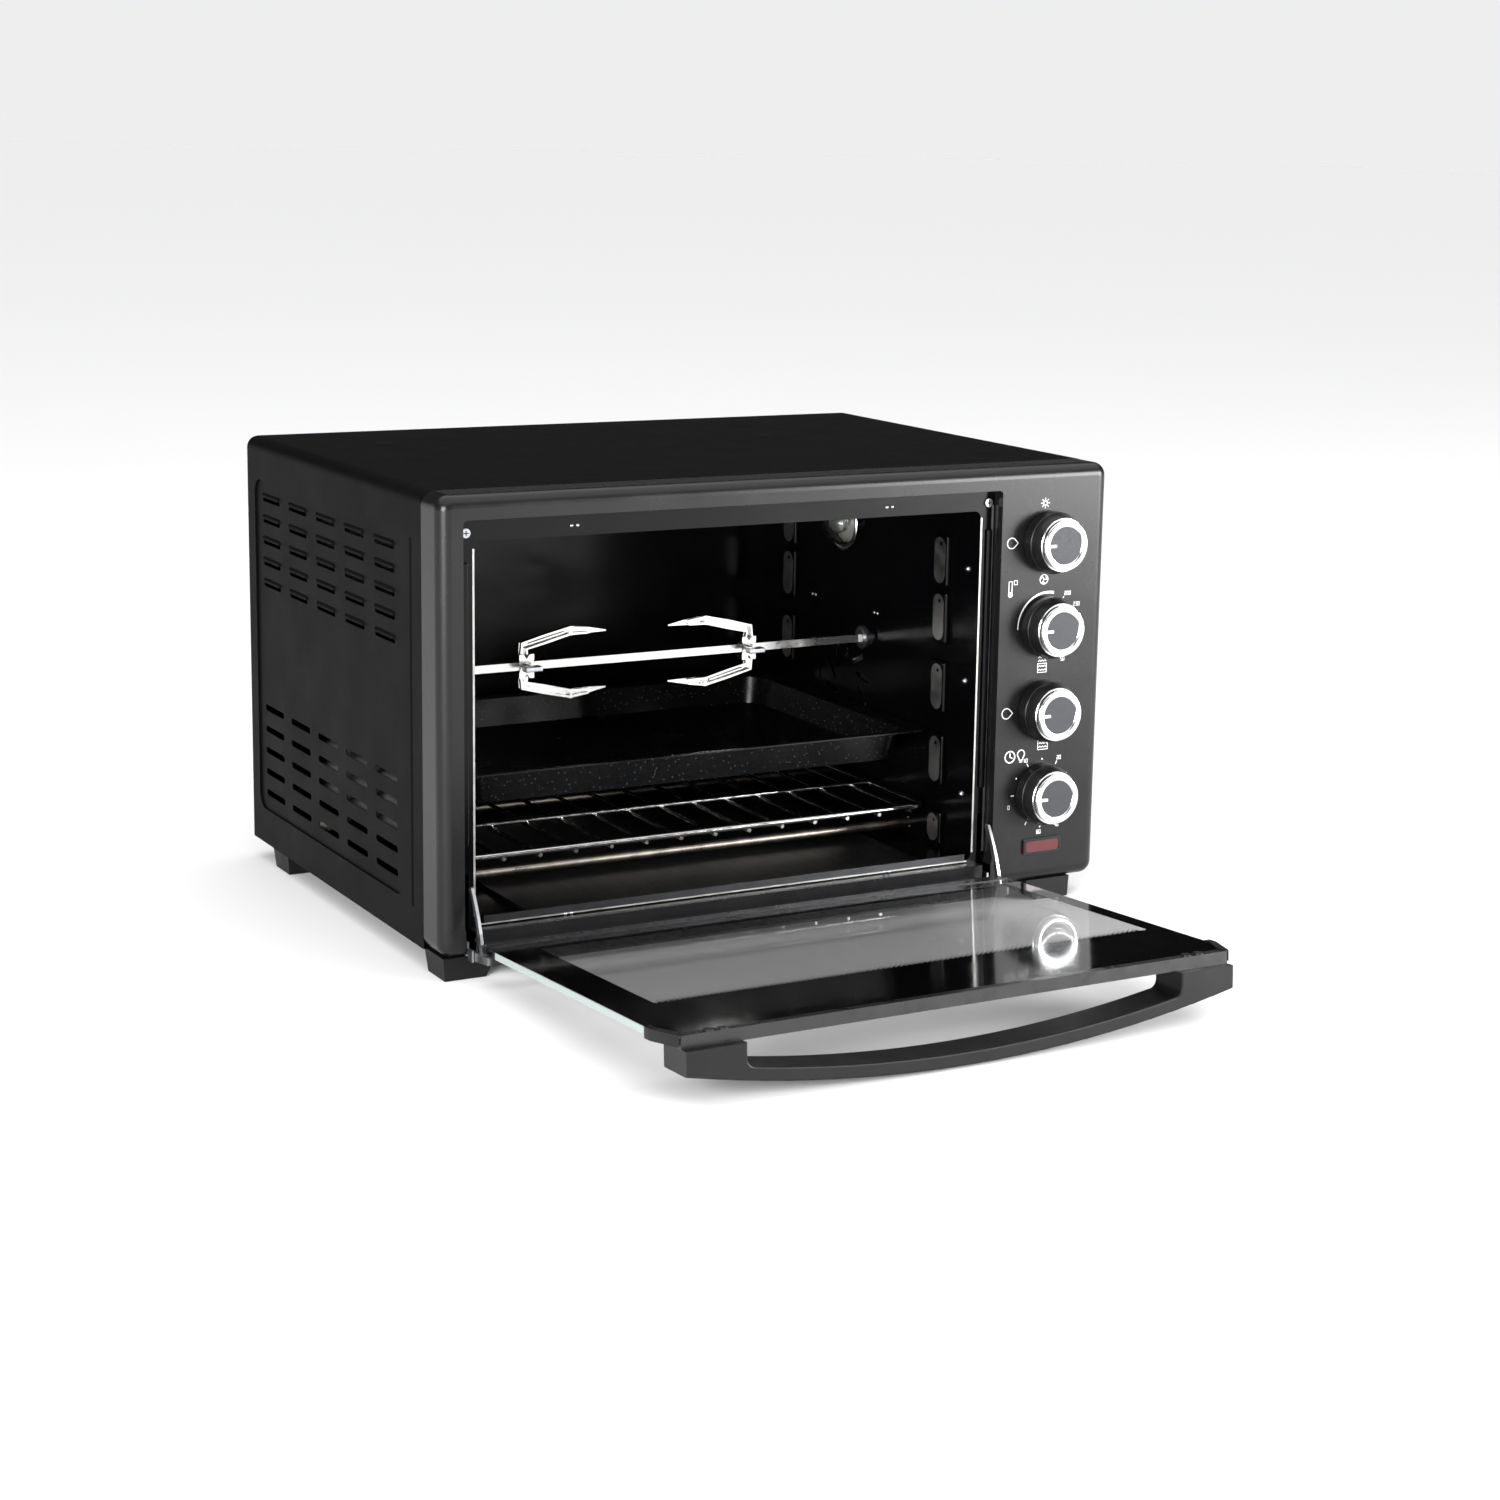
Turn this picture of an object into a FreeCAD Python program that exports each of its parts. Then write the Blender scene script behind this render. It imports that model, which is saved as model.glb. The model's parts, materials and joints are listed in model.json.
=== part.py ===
"""Rotisserie oven with its door open: a table-top oven with a spit, rack, tray and four knobs.

Millimetres. +X is the oven's right, -Y its front, +Z up. The pieces are drawn about the cabinet:
X from its middle, Y from the flat front face (positive to the back) and Z from FOOT_LOW above the
table. They are written about the middle of the footprint of the whole oven, with the door down.
"""
import FreeCAD
import Part
import math
import os
from FreeCAD import Vector

# Cabinet
WIDTH = 545.0
DEPTH = 396.0
FOOT_LOW = -2.0
FOOT_HEIGHT = 14.0
TOP = 335.0
SHEET = 0.7
BACK_SHEET = 0.8
CORNER = 9.0
SEAM = 0.3

# Front fascia and the recess that the door closes into
FASCIA_DEPTH = 32.0
FASCIA_SHEET = 1.0
CAVITY_X = -39.0
RECESS_HALF = 216.0
RECESS_LOW = 32.0
RECESS_HIGH = 318.0
RECESS_DEPTH = 11.0
SEAL_BEAD = 2.2

# Oven cavity
MOUTH_HALF = 203.5
MOUTH_HIGH = 302.0
CAVITY_HALF = 205.0
CAVITY_FRONT = RECESS_DEPTH + SHEET
CAVITY_BACK = 347.0
FLOOR = 34.0
ROOF = 308.0
SUPPORT_COLUMNS = (62.0, 298.0)
SUPPORT_TOPS = (62.0, 123.0, 180.0, 234.0, 278.0)
SUPPORT_HEIGHT = 40.0
SUPPORT_WIDTH = 20.0
SUPPORT_DEPTH = 4.0

# Door, drawn shut and then swung down about its hinge
HINGE_Y = -4.0
HINGE_Z = 16.0
DOOR_OPEN = 86.5
DOOR_HALF = 212.5
GLASS = 5.0
GLASS_BACK = 10.7
GLASS_LOW = 18.0
GLASS_HIGH = 300.0
TRIM_HIGH = 301.5
ARM_FACE = 210.0
ARM_THICK = 2.2
PIN_R = 1.2

# Door handle
HANDLE_HALF = 205.0
POST_INNER = 163.0
HANDLE_END = 13.0
HANDLE_BOW = 34.8
HANDLE_FAR = 308.0
GRIP_THICK = 9.0
HANDLE_WIDTH = 30.0

# Controls, top to bottom
PANEL_X = 220.0
KNOB_TOP_Z = 277.5
KNOB_PITCH = 64.7
KNOB_R = 23.5
KNOB_LONG = 21.0
RING_R = 20.8
CONTROLS = ("function", "thermostat", "heater", "timer")
LENS_X = 222.0
LENS_Z = 42.0

# Rotisserie, lamp and fan
SPIT_Y = 172.0
SPIT_Z = 180.0
SPIT_SIDE = 6.0
FORK_PLACES = (-95.0, 94.0)
FORK_LONG = 66.0
LAMP_Y = 212.0
LAMP_Z = 267.0
LAMP_R = 22.0
FAN_Y = 206.0
FAN_Z = 137.0
FAN_R = 45.0

# Racks and heaters
RACK_FRONT = 70.0
RACK_BACK = 330.0
RACK_Z = 64.5
RACK_HALF = 200.0
RACK_WIRES = 14
RACK_PITCH = 28.5
TRAY_HALF = 203.0
TRAY_BODY_HALF = 184.0
TRAY_TALL = 22.0
CRUMB_HALF = 162.5
HEATER_ROWS = (104.0, 290.0)
HEATER_R = 3.5
HEATER_LOW = 43.0
HEATER_HIGH = 295.0

# Pressed side panels and vents
PANEL_FRONT = 70.0
PANEL_REAR = 374.0
PANEL_LOW = 42.0
PANEL_HIGH = 304.0
PANEL_STEP = 1.5
VENT_LONG = 42.0
VENT_TALL = 5.0
LOUVRE_R = 3.4
VENT_COLUMNS = tuple(104.0 + 59.0 * i for i in range(5))
LOUVRE_ROWS = tuple(225.0 + 16.6 * i for i in range(5))
VENT_ROWS = tuple(56.0 + 17.1 * i for i in range(5))

# Mains lead gland in the back
INLET_X = 238.0
INLET_Z = 60.0

X_AXIS = Vector(1, 0, 0)
Y_AXIS = Vector(0, 1, 0)
Z_AXIS = Vector(0, 0, 1)


def box(x0, x1, y0, y1, z0, z1):
    """A block between two corners."""
    return Part.makeBox(x1 - x0, y1 - y0, z1 - z0, Vector(x0, y0, z0))


def rod(radius, length, start, axis):
    """A cylinder from a point along an axis."""
    return Part.makeCylinder(radius, length, Vector(*start), axis)


def fuse(shapes):
    """One solid from shapes that touch or overlap."""
    first, rest = shapes[0], shapes[1:]
    return first.fuse(rest).removeSplitter() if rest else first


def rounded(shape, radius, wanted):
    """Fillet the edges that the test picks."""
    edges = [edge for edge in shape.Edges if wanted(edge)]
    return shape.makeFillet(radius, edges) if edges else shape


def runs_along(edge, axis):
    """Whether a straight edge runs along an axis."""
    if len(edge.Vertexes) != 2:
        return False
    span = edge.Vertexes[1].Point - edge.Vertexes[0].Point
    return abs(abs(span.dot(axis)) - edge.Length) < 1e-6


def soft_block(x0, x1, y0, y1, z0, z1, radius):
    """A block with all its edges rounded."""
    block = box(x0, x1, y0, y1, z0, z1)
    return block.makeFillet(radius, block.Edges)


def plate(points, thickness, axis):
    """A flat plate from the points of its outline, thickened along an axis."""
    face = Part.Face(Part.makePolygon([Vector(*p) for p in points] + [Vector(*points[0])]))
    return face.extrude(axis * thickness)


def capsule(y, z, x, radius, long, reach):
    """A round-ended bar across the oven: radius tall, long from front to back, reach from side to side."""
    half = long / 2 - radius
    parts = [box(x, x + reach, y - half, y + half, z - radius, z + radius)]
    parts += [rod(radius, reach, (x, y + side * half, z), X_AXIS) for side in (-1, 1)]
    return fuse(parts)


def louvre(y, z, side):
    """A raised hood over a vent, open at its lower edge."""
    x = side * (WIDTH / 2 - PANEL_STEP - LOUVRE_R + 1.4)
    half = VENT_LONG / 2 - LOUVRE_R
    bar = rod(LOUVRE_R, 2 * half, (x, y - half, z), Y_AXIS)
    ends = [Part.makeSphere(LOUVRE_R, Vector(x, y + end * half, z)) for end in (-1, 1)]
    hood = bar.fuse(ends)
    skin = side * (WIDTH / 2 - PANEL_STEP - SHEET)
    keep = box(min(skin, side * WIDTH / 2), max(skin, side * WIDTH / 2), y - 40, y + 40, z - 0.4, z + 10)
    return hood.common(keep)


def pressed_panel(side):
    """Inner skin and outer pocket of the panel pressed into one side, and its upright groove."""
    half = WIDTH / 2

    def pocket(x0, x1, grow, radius):
        block = box(min(x0, x1), max(x0, x1), PANEL_FRONT - grow, PANEL_REAR + grow,
                    PANEL_LOW - grow, PANEL_HIGH + grow)
        return rounded(block, radius + grow, lambda edge: runs_along(edge, X_AXIS))

    floor = side * (half - PANEL_STEP)
    skin = pocket(floor - side * SHEET, side * (half - 0.1), 0.8, 12)
    hollow = pocket(floor, side * (half + 1), 0, 12)
    groove = rod(2.6, 261, (side * (half + 1.3), PANEL_FRONT - 18, 40), Z_AXIS)
    backing = rod(2.6 + SHEET, 261 + 2 * SHEET, (side * (half + 1.3), PANEL_FRONT - 18, 40 - SHEET), Z_AXIS)
    outside = box(side * half - 5, side * half + 5, 0, DEPTH, 0, TOP)
    outside.translate(Vector(side * 5, 0, 0))
    return [skin, backing.cut(outside)], [hollow, groove]


def outer_shell():
    """The painted wrap: left side, top and right side, with a folded rear edge and side vents."""
    front = FASCIA_DEPTH + SEAM

    def hull(inset):
        half = WIDTH / 2 - inset
        block = box(-half, half, front, DEPTH - inset, FOOT_HEIGHT, TOP - inset)

        def long_top(edge):
            return runs_along(edge, Y_AXIS) and edge.CenterOfMass.z > TOP - inset - 1

        block = rounded(block, CORNER - inset, long_top)

        def rear(edge):
            box_ = edge.BoundBox
            flat = box_.YMin > DEPTH - inset - 0.01
            return flat and edge.CenterOfMass.z > FOOT_HEIGHT + 1

        return rounded(block, CORNER - 2 - inset, rear)

    shell = hull(0).cut(hull(SHEET))
    half = WIDTH / 2
    lip = 16.0
    shell = shell.cut(box(-half + lip, half - lip, DEPTH - 12, DEPTH + 1, 0, TOP - lip))
    shell = shell.cut(box(-half + SHEET, half - SHEET, front - 1, DEPTH - CORNER, 0, FOOT_HEIGHT + 5))
    for side in (-1, 1):
        added, taken = pressed_panel(side)
        shell = shell.fuse(added).cut(taken)
        x = side * half - 4
        hoods = [louvre(y, z, side) for y in VENT_COLUMNS for z in LOUVRE_ROWS]
        slots = [capsule(y, z, x, VENT_TALL / 2, VENT_LONG, 8) for y in VENT_COLUMNS for z in VENT_ROWS]
        slots += [capsule(y, z - 2.1, x, 1.7, VENT_LONG - 4, 8) for y in VENT_COLUMNS for z in LOUVRE_ROWS]
        shell = shell.cut(slots).fuse(hoods)
    return shell


def back_cover():
    """The flat back panel, with rows of vents and the hole for the mains lead."""
    y = DEPTH - SHEET - BACK_SHEET
    panel = box(-262, 262, y, y + BACK_SHEET, FOOT_HEIGHT + 2, TOP - 8)
    cutters = [rod(8.0, 4, (INLET_X, y - 1, INLET_Z), Y_AXIS)]
    for x0 in (-190, -60, 70):
        for row in range(8):
            z = 210 + 12 * row
            cutters.append(box(x0, x0 + 90, y - 1, y + 3, z, z + 4.5))
    for row in range(5):
        z = 40 + 12 * row
        cutters.append(box(-190, -60, y - 1, y + 3, z, z + 4.5))
    return panel.cut(cutters)


def bottom_plate():
    """The floor of the case, with a clearance slot for each door stay."""
    half = WIDTH / 2 - SHEET - 0.2
    base = box(-half, half, FASCIA_DEPTH + 0.5, DEPTH - CORNER - 1, FOOT_HEIGHT, FOOT_HEIGHT + SHEET)
    cutters = []
    for side in (-1, 1):
        x = CAVITY_X + side * (ARM_FACE + ARM_THICK / 2)
        cutters.append(box(x - 4, x + 4, FASCIA_DEPTH + 4, FASCIA_DEPTH + 34, 0, FOOT_HEIGHT + 3))
    for row in range(6):
        y = 130 + 30 * row
        cutters.append(box(-150, -30, y, y + 6, 0, FOOT_HEIGHT + 3))
    return base.cut(cutters)


def front_fascia():
    """The pressed front: rounded rim, control panel, and the recess that the door closes into."""
    half = WIDTH / 2

    def pan(inset):
        front = inset
        block = box(-half + inset, half - inset, front, FASCIA_DEPTH + (1 if inset else 0),
                    FOOT_HEIGHT + inset, TOP - inset)
        block = rounded(block, CORNER + 1 - inset, lambda edge: runs_along(edge, Y_AXIS))

        def rim(edge):
            return edge.BoundBox.YMax < front + 0.01

        return rounded(block, CORNER - inset, rim)

    x0, x1 = CAVITY_X - RECESS_HALF, CAVITY_X + RECESS_HALF
    t = FASCIA_SHEET
    well = box(x0 - t, x1 + t, t / 2, RECESS_DEPTH, RECESS_LOW - t, RECESS_HIGH + t)
    mouth = box(x0, x1, -1, RECESS_DEPTH + 1, RECESS_LOW, RECESS_HIGH)
    mouth = rounded(mouth, 3.0, lambda edge: runs_along(edge, Y_AXIS))
    body = pan(0).cut(pan(t)).fuse(well).cut(mouth)
    cutters = [box(LENS_X - 15.5, LENS_X + 15.5, -1, t + 1, LENS_Z - 4.5, LENS_Z + 4.5)]
    for side in (-1, 1):
        inner = CAVITY_X + side * (ARM_FACE - 2.4)
        outer = CAVITY_X + side * (RECESS_HALF - 0.8)
        cutters.append(box(min(inner, outer), max(inner, outer), -1, RECESS_DEPTH + 1,
                           FOOT_HEIGHT + t, RECESS_LOW + 1))
    for index in range(len(CONTROLS)):
        cutters.append(rod(6.0, t + 2, (PANEL_X, -1, knob_height(index)), Y_AXIS))
    return body.cut(cutters)


def cavity_front_frame():
    """The flange round the oven's mouth, slotted for the door stays."""
    x0, x1 = CAVITY_X - RECESS_HALF - 5, CAVITY_X + RECESS_HALF + 5
    sheet = box(x0, x1, RECESS_DEPTH, RECESS_DEPTH + SHEET, RECESS_LOW - 1, RECESS_HIGH + 5)
    mouth = box(CAVITY_X - MOUTH_HALF, CAVITY_X + MOUTH_HALF, 0, 40, FLOOR, MOUTH_HIGH)
    mouth = rounded(mouth, 5.0, lambda edge: runs_along(edge, Y_AXIS))
    cutters = [mouth]
    beads = []
    for side in (-1, 1):
        x = CAVITY_X + side * (ARM_FACE + ARM_THICK / 2)
        cutters.append(box(x - 2.2, x + 2.2, 0, 40, RECESS_LOW - 2, 70))
        low, high = (90, MOUTH_HIGH - 14)
        beads.append(soft_block(x - 2.5, x + 2.5, RECESS_DEPTH - SEAL_BEAD, RECESS_DEPTH + 0.5, low, high, 1.0))
    return fuse([sheet] + beads).cut(cutters)


def side_wall(side):
    """A cavity wall with its two columns of pressed rack supports."""
    inner = CAVITY_X + side * CAVITY_HALF
    outer = inner + side * SHEET
    wall = box(min(inner, outer), max(inner, outer), CAVITY_FRONT, CAVITY_BACK, FLOOR - SHEET, ROOF + SHEET)
    pads = []
    for y in SUPPORT_COLUMNS:
        for top in SUPPORT_TOPS:
            low = max(top - SUPPORT_HEIGHT, FLOOR + 2)
            face = inner - side * SUPPORT_DEPTH
            pads.append(soft_block(min(face, outer), max(face, outer), y - SUPPORT_WIDTH / 2,
                                   y + SUPPORT_WIDTH / 2, low, top, 2.0))
    wall = fuse([wall] + pads)
    trim = box(outer, outer + 10, 0, 400, 0, 400) if side > 0 else box(outer - 10, outer, 0, 400, 0, 400)
    cutters = [trim]
    for y in HEATER_ROWS:
        for z in (HEATER_LOW, HEATER_HIGH):
            cutters.append(rod(HEATER_R + 0.4, 20, (inner - 10, y, z), X_AXIS))
    if side > 0:
        cutters.append(rod(LAMP_R - 4, 20, (inner - 10, LAMP_Y, LAMP_Z), X_AXIS))
        cutters.append(rod(FAN_R - 2, 20, (inner - 10, FAN_Y, FAN_Z), X_AXIS))
        cutters.append(rod(7.0, 20, (inner - 10, SPIT_Y, SPIT_Z), X_AXIS))
    return wall.cut(cutters)


def cavity_back_wall():
    """The rear wall of the cavity."""
    half = CAVITY_HALF + SHEET
    return box(CAVITY_X - half, CAVITY_X + half, CAVITY_BACK, CAVITY_BACK + SHEET, FLOOR - SHEET, ROOF + SHEET)


def cavity_deck(z):
    """The floor or the roof of the cavity, between its side walls."""
    return box(CAVITY_X - CAVITY_HALF, CAVITY_X + CAVITY_HALF, CAVITY_FRONT, CAVITY_BACK, z, z + SHEET)


def heat_shield():
    """The sheet that keeps the cavity's heat from the switches."""
    x = CAVITY_X + CAVITY_HALF + 20
    web = box(x, x + SHEET, CAVITY_FRONT + 1, 150, FLOOR, ROOF)
    fold = box(x - 12, x, 149, 150, FLOOR, ROOF)
    return fuse([web, fold])


def heaters(z):
    """A pair of straight heating tubes across the cavity."""
    start = CAVITY_X - CAVITY_HALF - SHEET
    length = 2 * (CAVITY_HALF + SHEET)
    return Part.makeCompound([rod(HEATER_R, length, (start, y, z), X_AXIS) for y in HEATER_ROWS])


def heater_insulators():
    """Stepped ceramic ends of the heating tubes, outside the side walls."""
    parts = []
    for side in (-1, 1):
        axis = X_AXIS * side
        for y in HEATER_ROWS:
            for z in (HEATER_LOW, HEATER_HIGH):
                x = CAVITY_X + side * (CAVITY_HALF + SHEET)
                wide = rod(6.5, 4, (x, y, z), axis)
                thin = rod(4.5, 8, (x + side * 4, y, z), axis)
                parts.append(fuse([wide, thin]))
    return Part.makeCompound(parts)


def revolve_about_x(points, y, z):
    """A turned piece: (x, radius) points revolved about a line along X."""
    wire = Part.makePolygon([Vector(px, y + pr, z) for px, pr in points + [points[0]]])
    return Part.Face(wire).revolve(Vector(0, y, z), X_AXIS, 360)


def lamp_lens():
    """Glass dome over the oven lamp, with a seating flange."""
    wall = CAVITY_X + CAVITY_HALF
    steps = 8
    outer = [(wall - 1.5 - 17 * math.sin(math.radians(90 * i / steps)),
              18 * math.cos(math.radians(90 * i / steps))) for i in range(steps + 1)]
    inner = [(wall - 1.5 - 15 * math.sin(math.radians(90 * i / steps)),
              16 * math.cos(math.radians(90 * i / steps))) for i in range(steps, -1, -1)]
    outline = [(wall, LAMP_R), (wall - 1.5, LAMP_R)] + outer + inner + [(wall, 16)]
    return revolve_about_x(outline, LAMP_Y, LAMP_Z)


def lamp_bulb():
    """Small bulb inside the dome, with its neck."""
    wall = CAVITY_X + CAVITY_HALF
    middle, ball, neck = wall - 6, 8.0, 5.5
    join = math.acos(neck / ball)
    steps = 14
    angles = [math.pi - (math.pi - math.pi / 2 + join) * i / steps for i in range(steps + 1)]
    outline = [(middle + ball * math.cos(a), ball * math.sin(a)) for a in angles]
    return revolve_about_x(outline + [(wall + 12, neck), (wall + 12, 0)], LAMP_Y, LAMP_Z)


def lamp_holder():
    """Ceramic lamp holder behind the wall."""
    wall = CAVITY_X + CAVITY_HALF + SHEET
    cup = rod(20.0, 18, (wall, LAMP_Y, LAMP_Z), X_AXIS)
    hollow = rod(6.0, 14, (wall, LAMP_Y, LAMP_Z), X_AXIS)
    return cup.cut(hollow)


def fan_cover():
    """Round guard over the fan, with slanted slots in rings."""
    wall = CAVITY_X + CAVITY_HALF + SHEET
    disc = rod(FAN_R + 2, 1.2, (wall, FAN_Y, FAN_Z), X_AXIS)
    cutters = []
    for index in range(10):
        slot = box(wall - 1, wall + 3, FAN_Y - 2.2, FAN_Y + 2.2, FAN_Z + 16, FAN_Z + 36)
        slot.rotate(Vector(wall, FAN_Y, FAN_Z + 26), X_AXIS, 30)
        slot.rotate(Vector(wall, FAN_Y, FAN_Z), X_AXIS, 36 * index)
        cutters.append(slot)
    return disc.cut(cutters)


def fan_wheel():
    """Flat steel fan with bent blades on a hub."""
    x = CAVITY_X + CAVITY_HALF + 6
    hub = rod(9.0, 6, (x, FAN_Y, FAN_Z), X_AXIS)
    disc = rod(24.0, 1.2, (x + 2, FAN_Y, FAN_Z), X_AXIS)
    bore = rod(2.05, 10, (x - 1, FAN_Y, FAN_Z), X_AXIS)
    blades = []
    for index in range(8):
        blade = box(x, x + 9, FAN_Y - 0.6, FAN_Y + 0.6, FAN_Z + 18, FAN_Z + 38)
        blade.rotate(Vector(x, FAN_Y, FAN_Z), X_AXIS, 45 * index)
        blades.append(blade)
    return fuse([disc, hub] + blades).cut(bore)


def fan_motor():
    """Shaded-pole motor that turns the fan, with its shaft."""
    x = CAVITY_X + CAVITY_HALF + 22
    stator = box(x, x + 20, FAN_Y - 20, FAN_Y + 20, FAN_Z - 18, FAN_Z + 18)
    cap = rod(12.0, 5, (x + 20, FAN_Y, FAN_Z), X_AXIS)
    shaft = rod(2.0, 17, (x - 17, FAN_Y, FAN_Z), X_AXIS)
    return fuse([stator, cap, shaft])


def spit_motor():
    """Slow gear motor of the rotisserie."""
    x = CAVITY_X + CAVITY_HALF + 26
    can = rod(24.0, 18, (x, SPIT_Y - 6, SPIT_Z + 4), X_AXIS)
    boss = rod(8.0, 4, (x - 4, SPIT_Y, SPIT_Z), X_AXIS)
    stub = rod(2.5, 16, (x - 18, SPIT_Y, SPIT_Z), X_AXIS)
    return fuse([can, boss, stub])


def spit_socket():
    """Drive socket that takes the square end of the spit."""
    x = CAVITY_X + CAVITY_HALF - 9
    body = rod(6.5, 25, (x, SPIT_Y, SPIT_Z), X_AXIS)
    collar = rod(9.0, 3, (x + 2, SPIT_Y, SPIT_Z), X_AXIS)
    side = SPIT_SIDE / 2 + 0.15
    square = box(x - 1, x + 9, SPIT_Y - side, SPIT_Y + side, SPIT_Z - side, SPIT_Z + side)
    bore = rod(2.55, 12, (x + 15, SPIT_Y, SPIT_Z), X_AXIS)
    return fuse([body, collar]).cut([square, bore])


def spit_bearing():
    """Cradle on the left wall that carries the spit's round end."""
    x = CAVITY_X - CAVITY_HALF
    block = soft_block(x - 0.5, x + 6, SPIT_Y - 9, SPIT_Y + 9, SPIT_Z - 12, SPIT_Z + 6, 1.2)
    block = block.cut(box(x - 2, x, 0, 400, 0, 400))
    bore = rod(3.06, 10, (x - 1, SPIT_Y, SPIT_Z), X_AXIS)
    gate = box(x - 1, x + 9, SPIT_Y - 3.06, SPIT_Y + 3.06, SPIT_Z, SPIT_Z + 20)
    return block.cut([bore, gate])


def spit_rod():
    """Square steel spit with a round left end."""
    left = CAVITY_X - CAVITY_HALF + 1
    right = CAVITY_X + CAVITY_HALF - 1.5
    half = SPIT_SIDE / 2
    bar = box(left + 8, right, SPIT_Y - half, SPIT_Y + half, SPIT_Z - half, SPIT_Z + half)
    end = rod(half, 8, (left, SPIT_Y, SPIT_Z), X_AXIS)
    return fuse([bar, end])


def spit_fork(place, facing):
    """Stamped fork: a hub plate with two stepped, ribbed tines that point along the spit."""
    thick = 6.0
    wide = 5.0
    hub_x = CAVITY_X + place
    hole = SPIT_SIDE / 2 + 0.1

    def tine(sign):
        outline = [(0, 6), (0, 16), (14, 18), (34, 25), (FORK_LONG + 4, 23), (52, 19.5),
                   (36, 19), (20, 12), (9, 9), (9, 6)]
        points = [(hub_x + facing * (u - 5), SPIT_Y - thick / 2, SPIT_Z + sign * v) for u, v in outline]
        return plate(points, thick, Y_AXIS)

    hub = box(hub_x - wide, hub_x + wide, SPIT_Y - 7, SPIT_Y + 7, SPIT_Z - 8, SPIT_Z + 8)
    square = box(hub_x - 20, hub_x + 20, SPIT_Y - hole, SPIT_Y + hole, SPIT_Z - hole, SPIT_Z + hole)
    screw_hole = rod(2.3, 20, (hub_x, SPIT_Y, SPIT_Z), Y_AXIS * -1)
    return fuse([hub, tine(1), tine(-1)]).cut([square, screw_hole])


def fork_screws():
    """Thumbscrews that lock the forks on the spit."""
    parts = []
    for place in FORK_PLACES:
        x = CAVITY_X + place
        shank = rod(2.25, 10, (x, SPIT_Y - SPIT_SIDE / 2 - 0.05, SPIT_Z), Y_AXIS * -1)
        wing = soft_block(x - 7, x + 7, SPIT_Y - 19, SPIT_Y - 11, SPIT_Z - 2, SPIT_Z + 2, 0.9)
        parts.append(fuse([shank, wing]))
    return Part.makeCompound(parts)


def wire_rack():
    """Grid of long wires under a thicker rectangular frame."""
    frame_r = 2.25
    wire_r = 1.5
    corners = 14.0
    x0, x1 = CAVITY_X - RACK_HALF, CAVITY_X + RACK_HALF
    flat = box(x0, x1, RACK_FRONT, RACK_BACK, RACK_Z, RACK_Z + 1)
    flat = rounded(flat, corners, lambda edge: runs_along(edge, Z_AXIS))
    path = [face for face in flat.Faces if abs(face.CenterOfMass.z - RACK_Z) < 1e-6][0].OuterWire
    start = Vector(CAVITY_X, RACK_FRONT, RACK_Z)
    ring = Part.Wire(Part.makeCircle(frame_r, start, X_AXIS))
    frame = Part.Wire(path.Edges).makePipeShell([ring], True, False)
    wires = []
    first = CAVITY_X - RACK_PITCH * (RACK_WIRES - 1) / 2
    z = RACK_Z - frame_r - wire_r + 0.8
    for index in range(RACK_WIRES):
        x = first + RACK_PITCH * index
        wires.append(rod(wire_r, RACK_BACK - RACK_FRONT + 3, (x, RACK_FRONT - 1.5, z), Y_AXIS))
    for y in (RACK_FRONT + 87, RACK_FRONT + 174):
        wires.append(rod(2.0, 2 * RACK_HALF, (x0, y, RACK_Z), X_AXIS))
    return fuse([frame] + wires)


def baking_tray():
    """Shallow enamelled tray with sloping walls and a flat rim that rides on the supports."""
    z = SUPPORT_TOPS[1] + 0.3
    skin = 1.0

    def pan(inset, top):
        slope = 5.0
        rings = []
        for level, drop in ((top, 0.0), (z + skin - TRAY_TALL + inset, slope)):
            half = TRAY_BODY_HALF - inset - drop
            y0, y1 = RACK_FRONT + 3 + inset + drop, RACK_BACK - 12 - inset - drop
            flat = box(CAVITY_X - half, CAVITY_X + half, y0, y1, level, level + 1)
            flat = rounded(flat, 20 - inset - drop / 2, lambda edge: runs_along(edge, Z_AXIS))
            low = [face for face in flat.Faces if abs(face.CenterOfMass.z - level) < 1e-6][0]
            rings.append(low.OuterWire)
        return Part.makeLoft(rings, True, True)

    rim = box(CAVITY_X - TRAY_HALF, CAVITY_X + TRAY_HALF, RACK_FRONT, RACK_BACK, z, z + skin)
    rim = rounded(rim, 12.0, lambda edge: runs_along(edge, Z_AXIS))
    return fuse([rim, pan(0, z + skin)]).cut(pan(skin, z + skin + 0.01))


def crumb_tray():
    """Thin tray on the cavity floor with a front lip that closes the gap under the mouth."""
    x0, x1 = CAVITY_X - CRUMB_HALF, CAVITY_X + CRUMB_HALF
    low = FLOOR + 0.3
    front = RECESS_DEPTH
    deck = box(x0, x1, front, CAVITY_BACK - 12, low, low + 0.8)
    lip = box(CAVITY_X - MOUTH_HALF + 6, CAVITY_X + MOUTH_HALF - 6, front - 1, front, low, low + 5)
    sides = [box(x, x + 0.8, front, CAVITY_BACK - 12, low, low + 3) for x in (x0, x1 - 0.8)]
    return fuse([deck, lip] + sides)


def swing_open(shape):
    """Turn a piece drawn on the shut door to where it is with the door down."""
    turned = shape.copy()
    turned.rotate(Vector(0, HINGE_Y, HINGE_Z), X_AXIS, DOOR_OPEN)
    return turned


def door_block(x_half, u0, u1, w0, w1):
    """A block on the shut door: u up from the hinge, w inwards from it."""
    return box(CAVITY_X - x_half, CAVITY_X + x_half, HINGE_Y + w0, HINGE_Y + w1, HINGE_Z + u0, HINGE_Z + u1)


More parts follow.
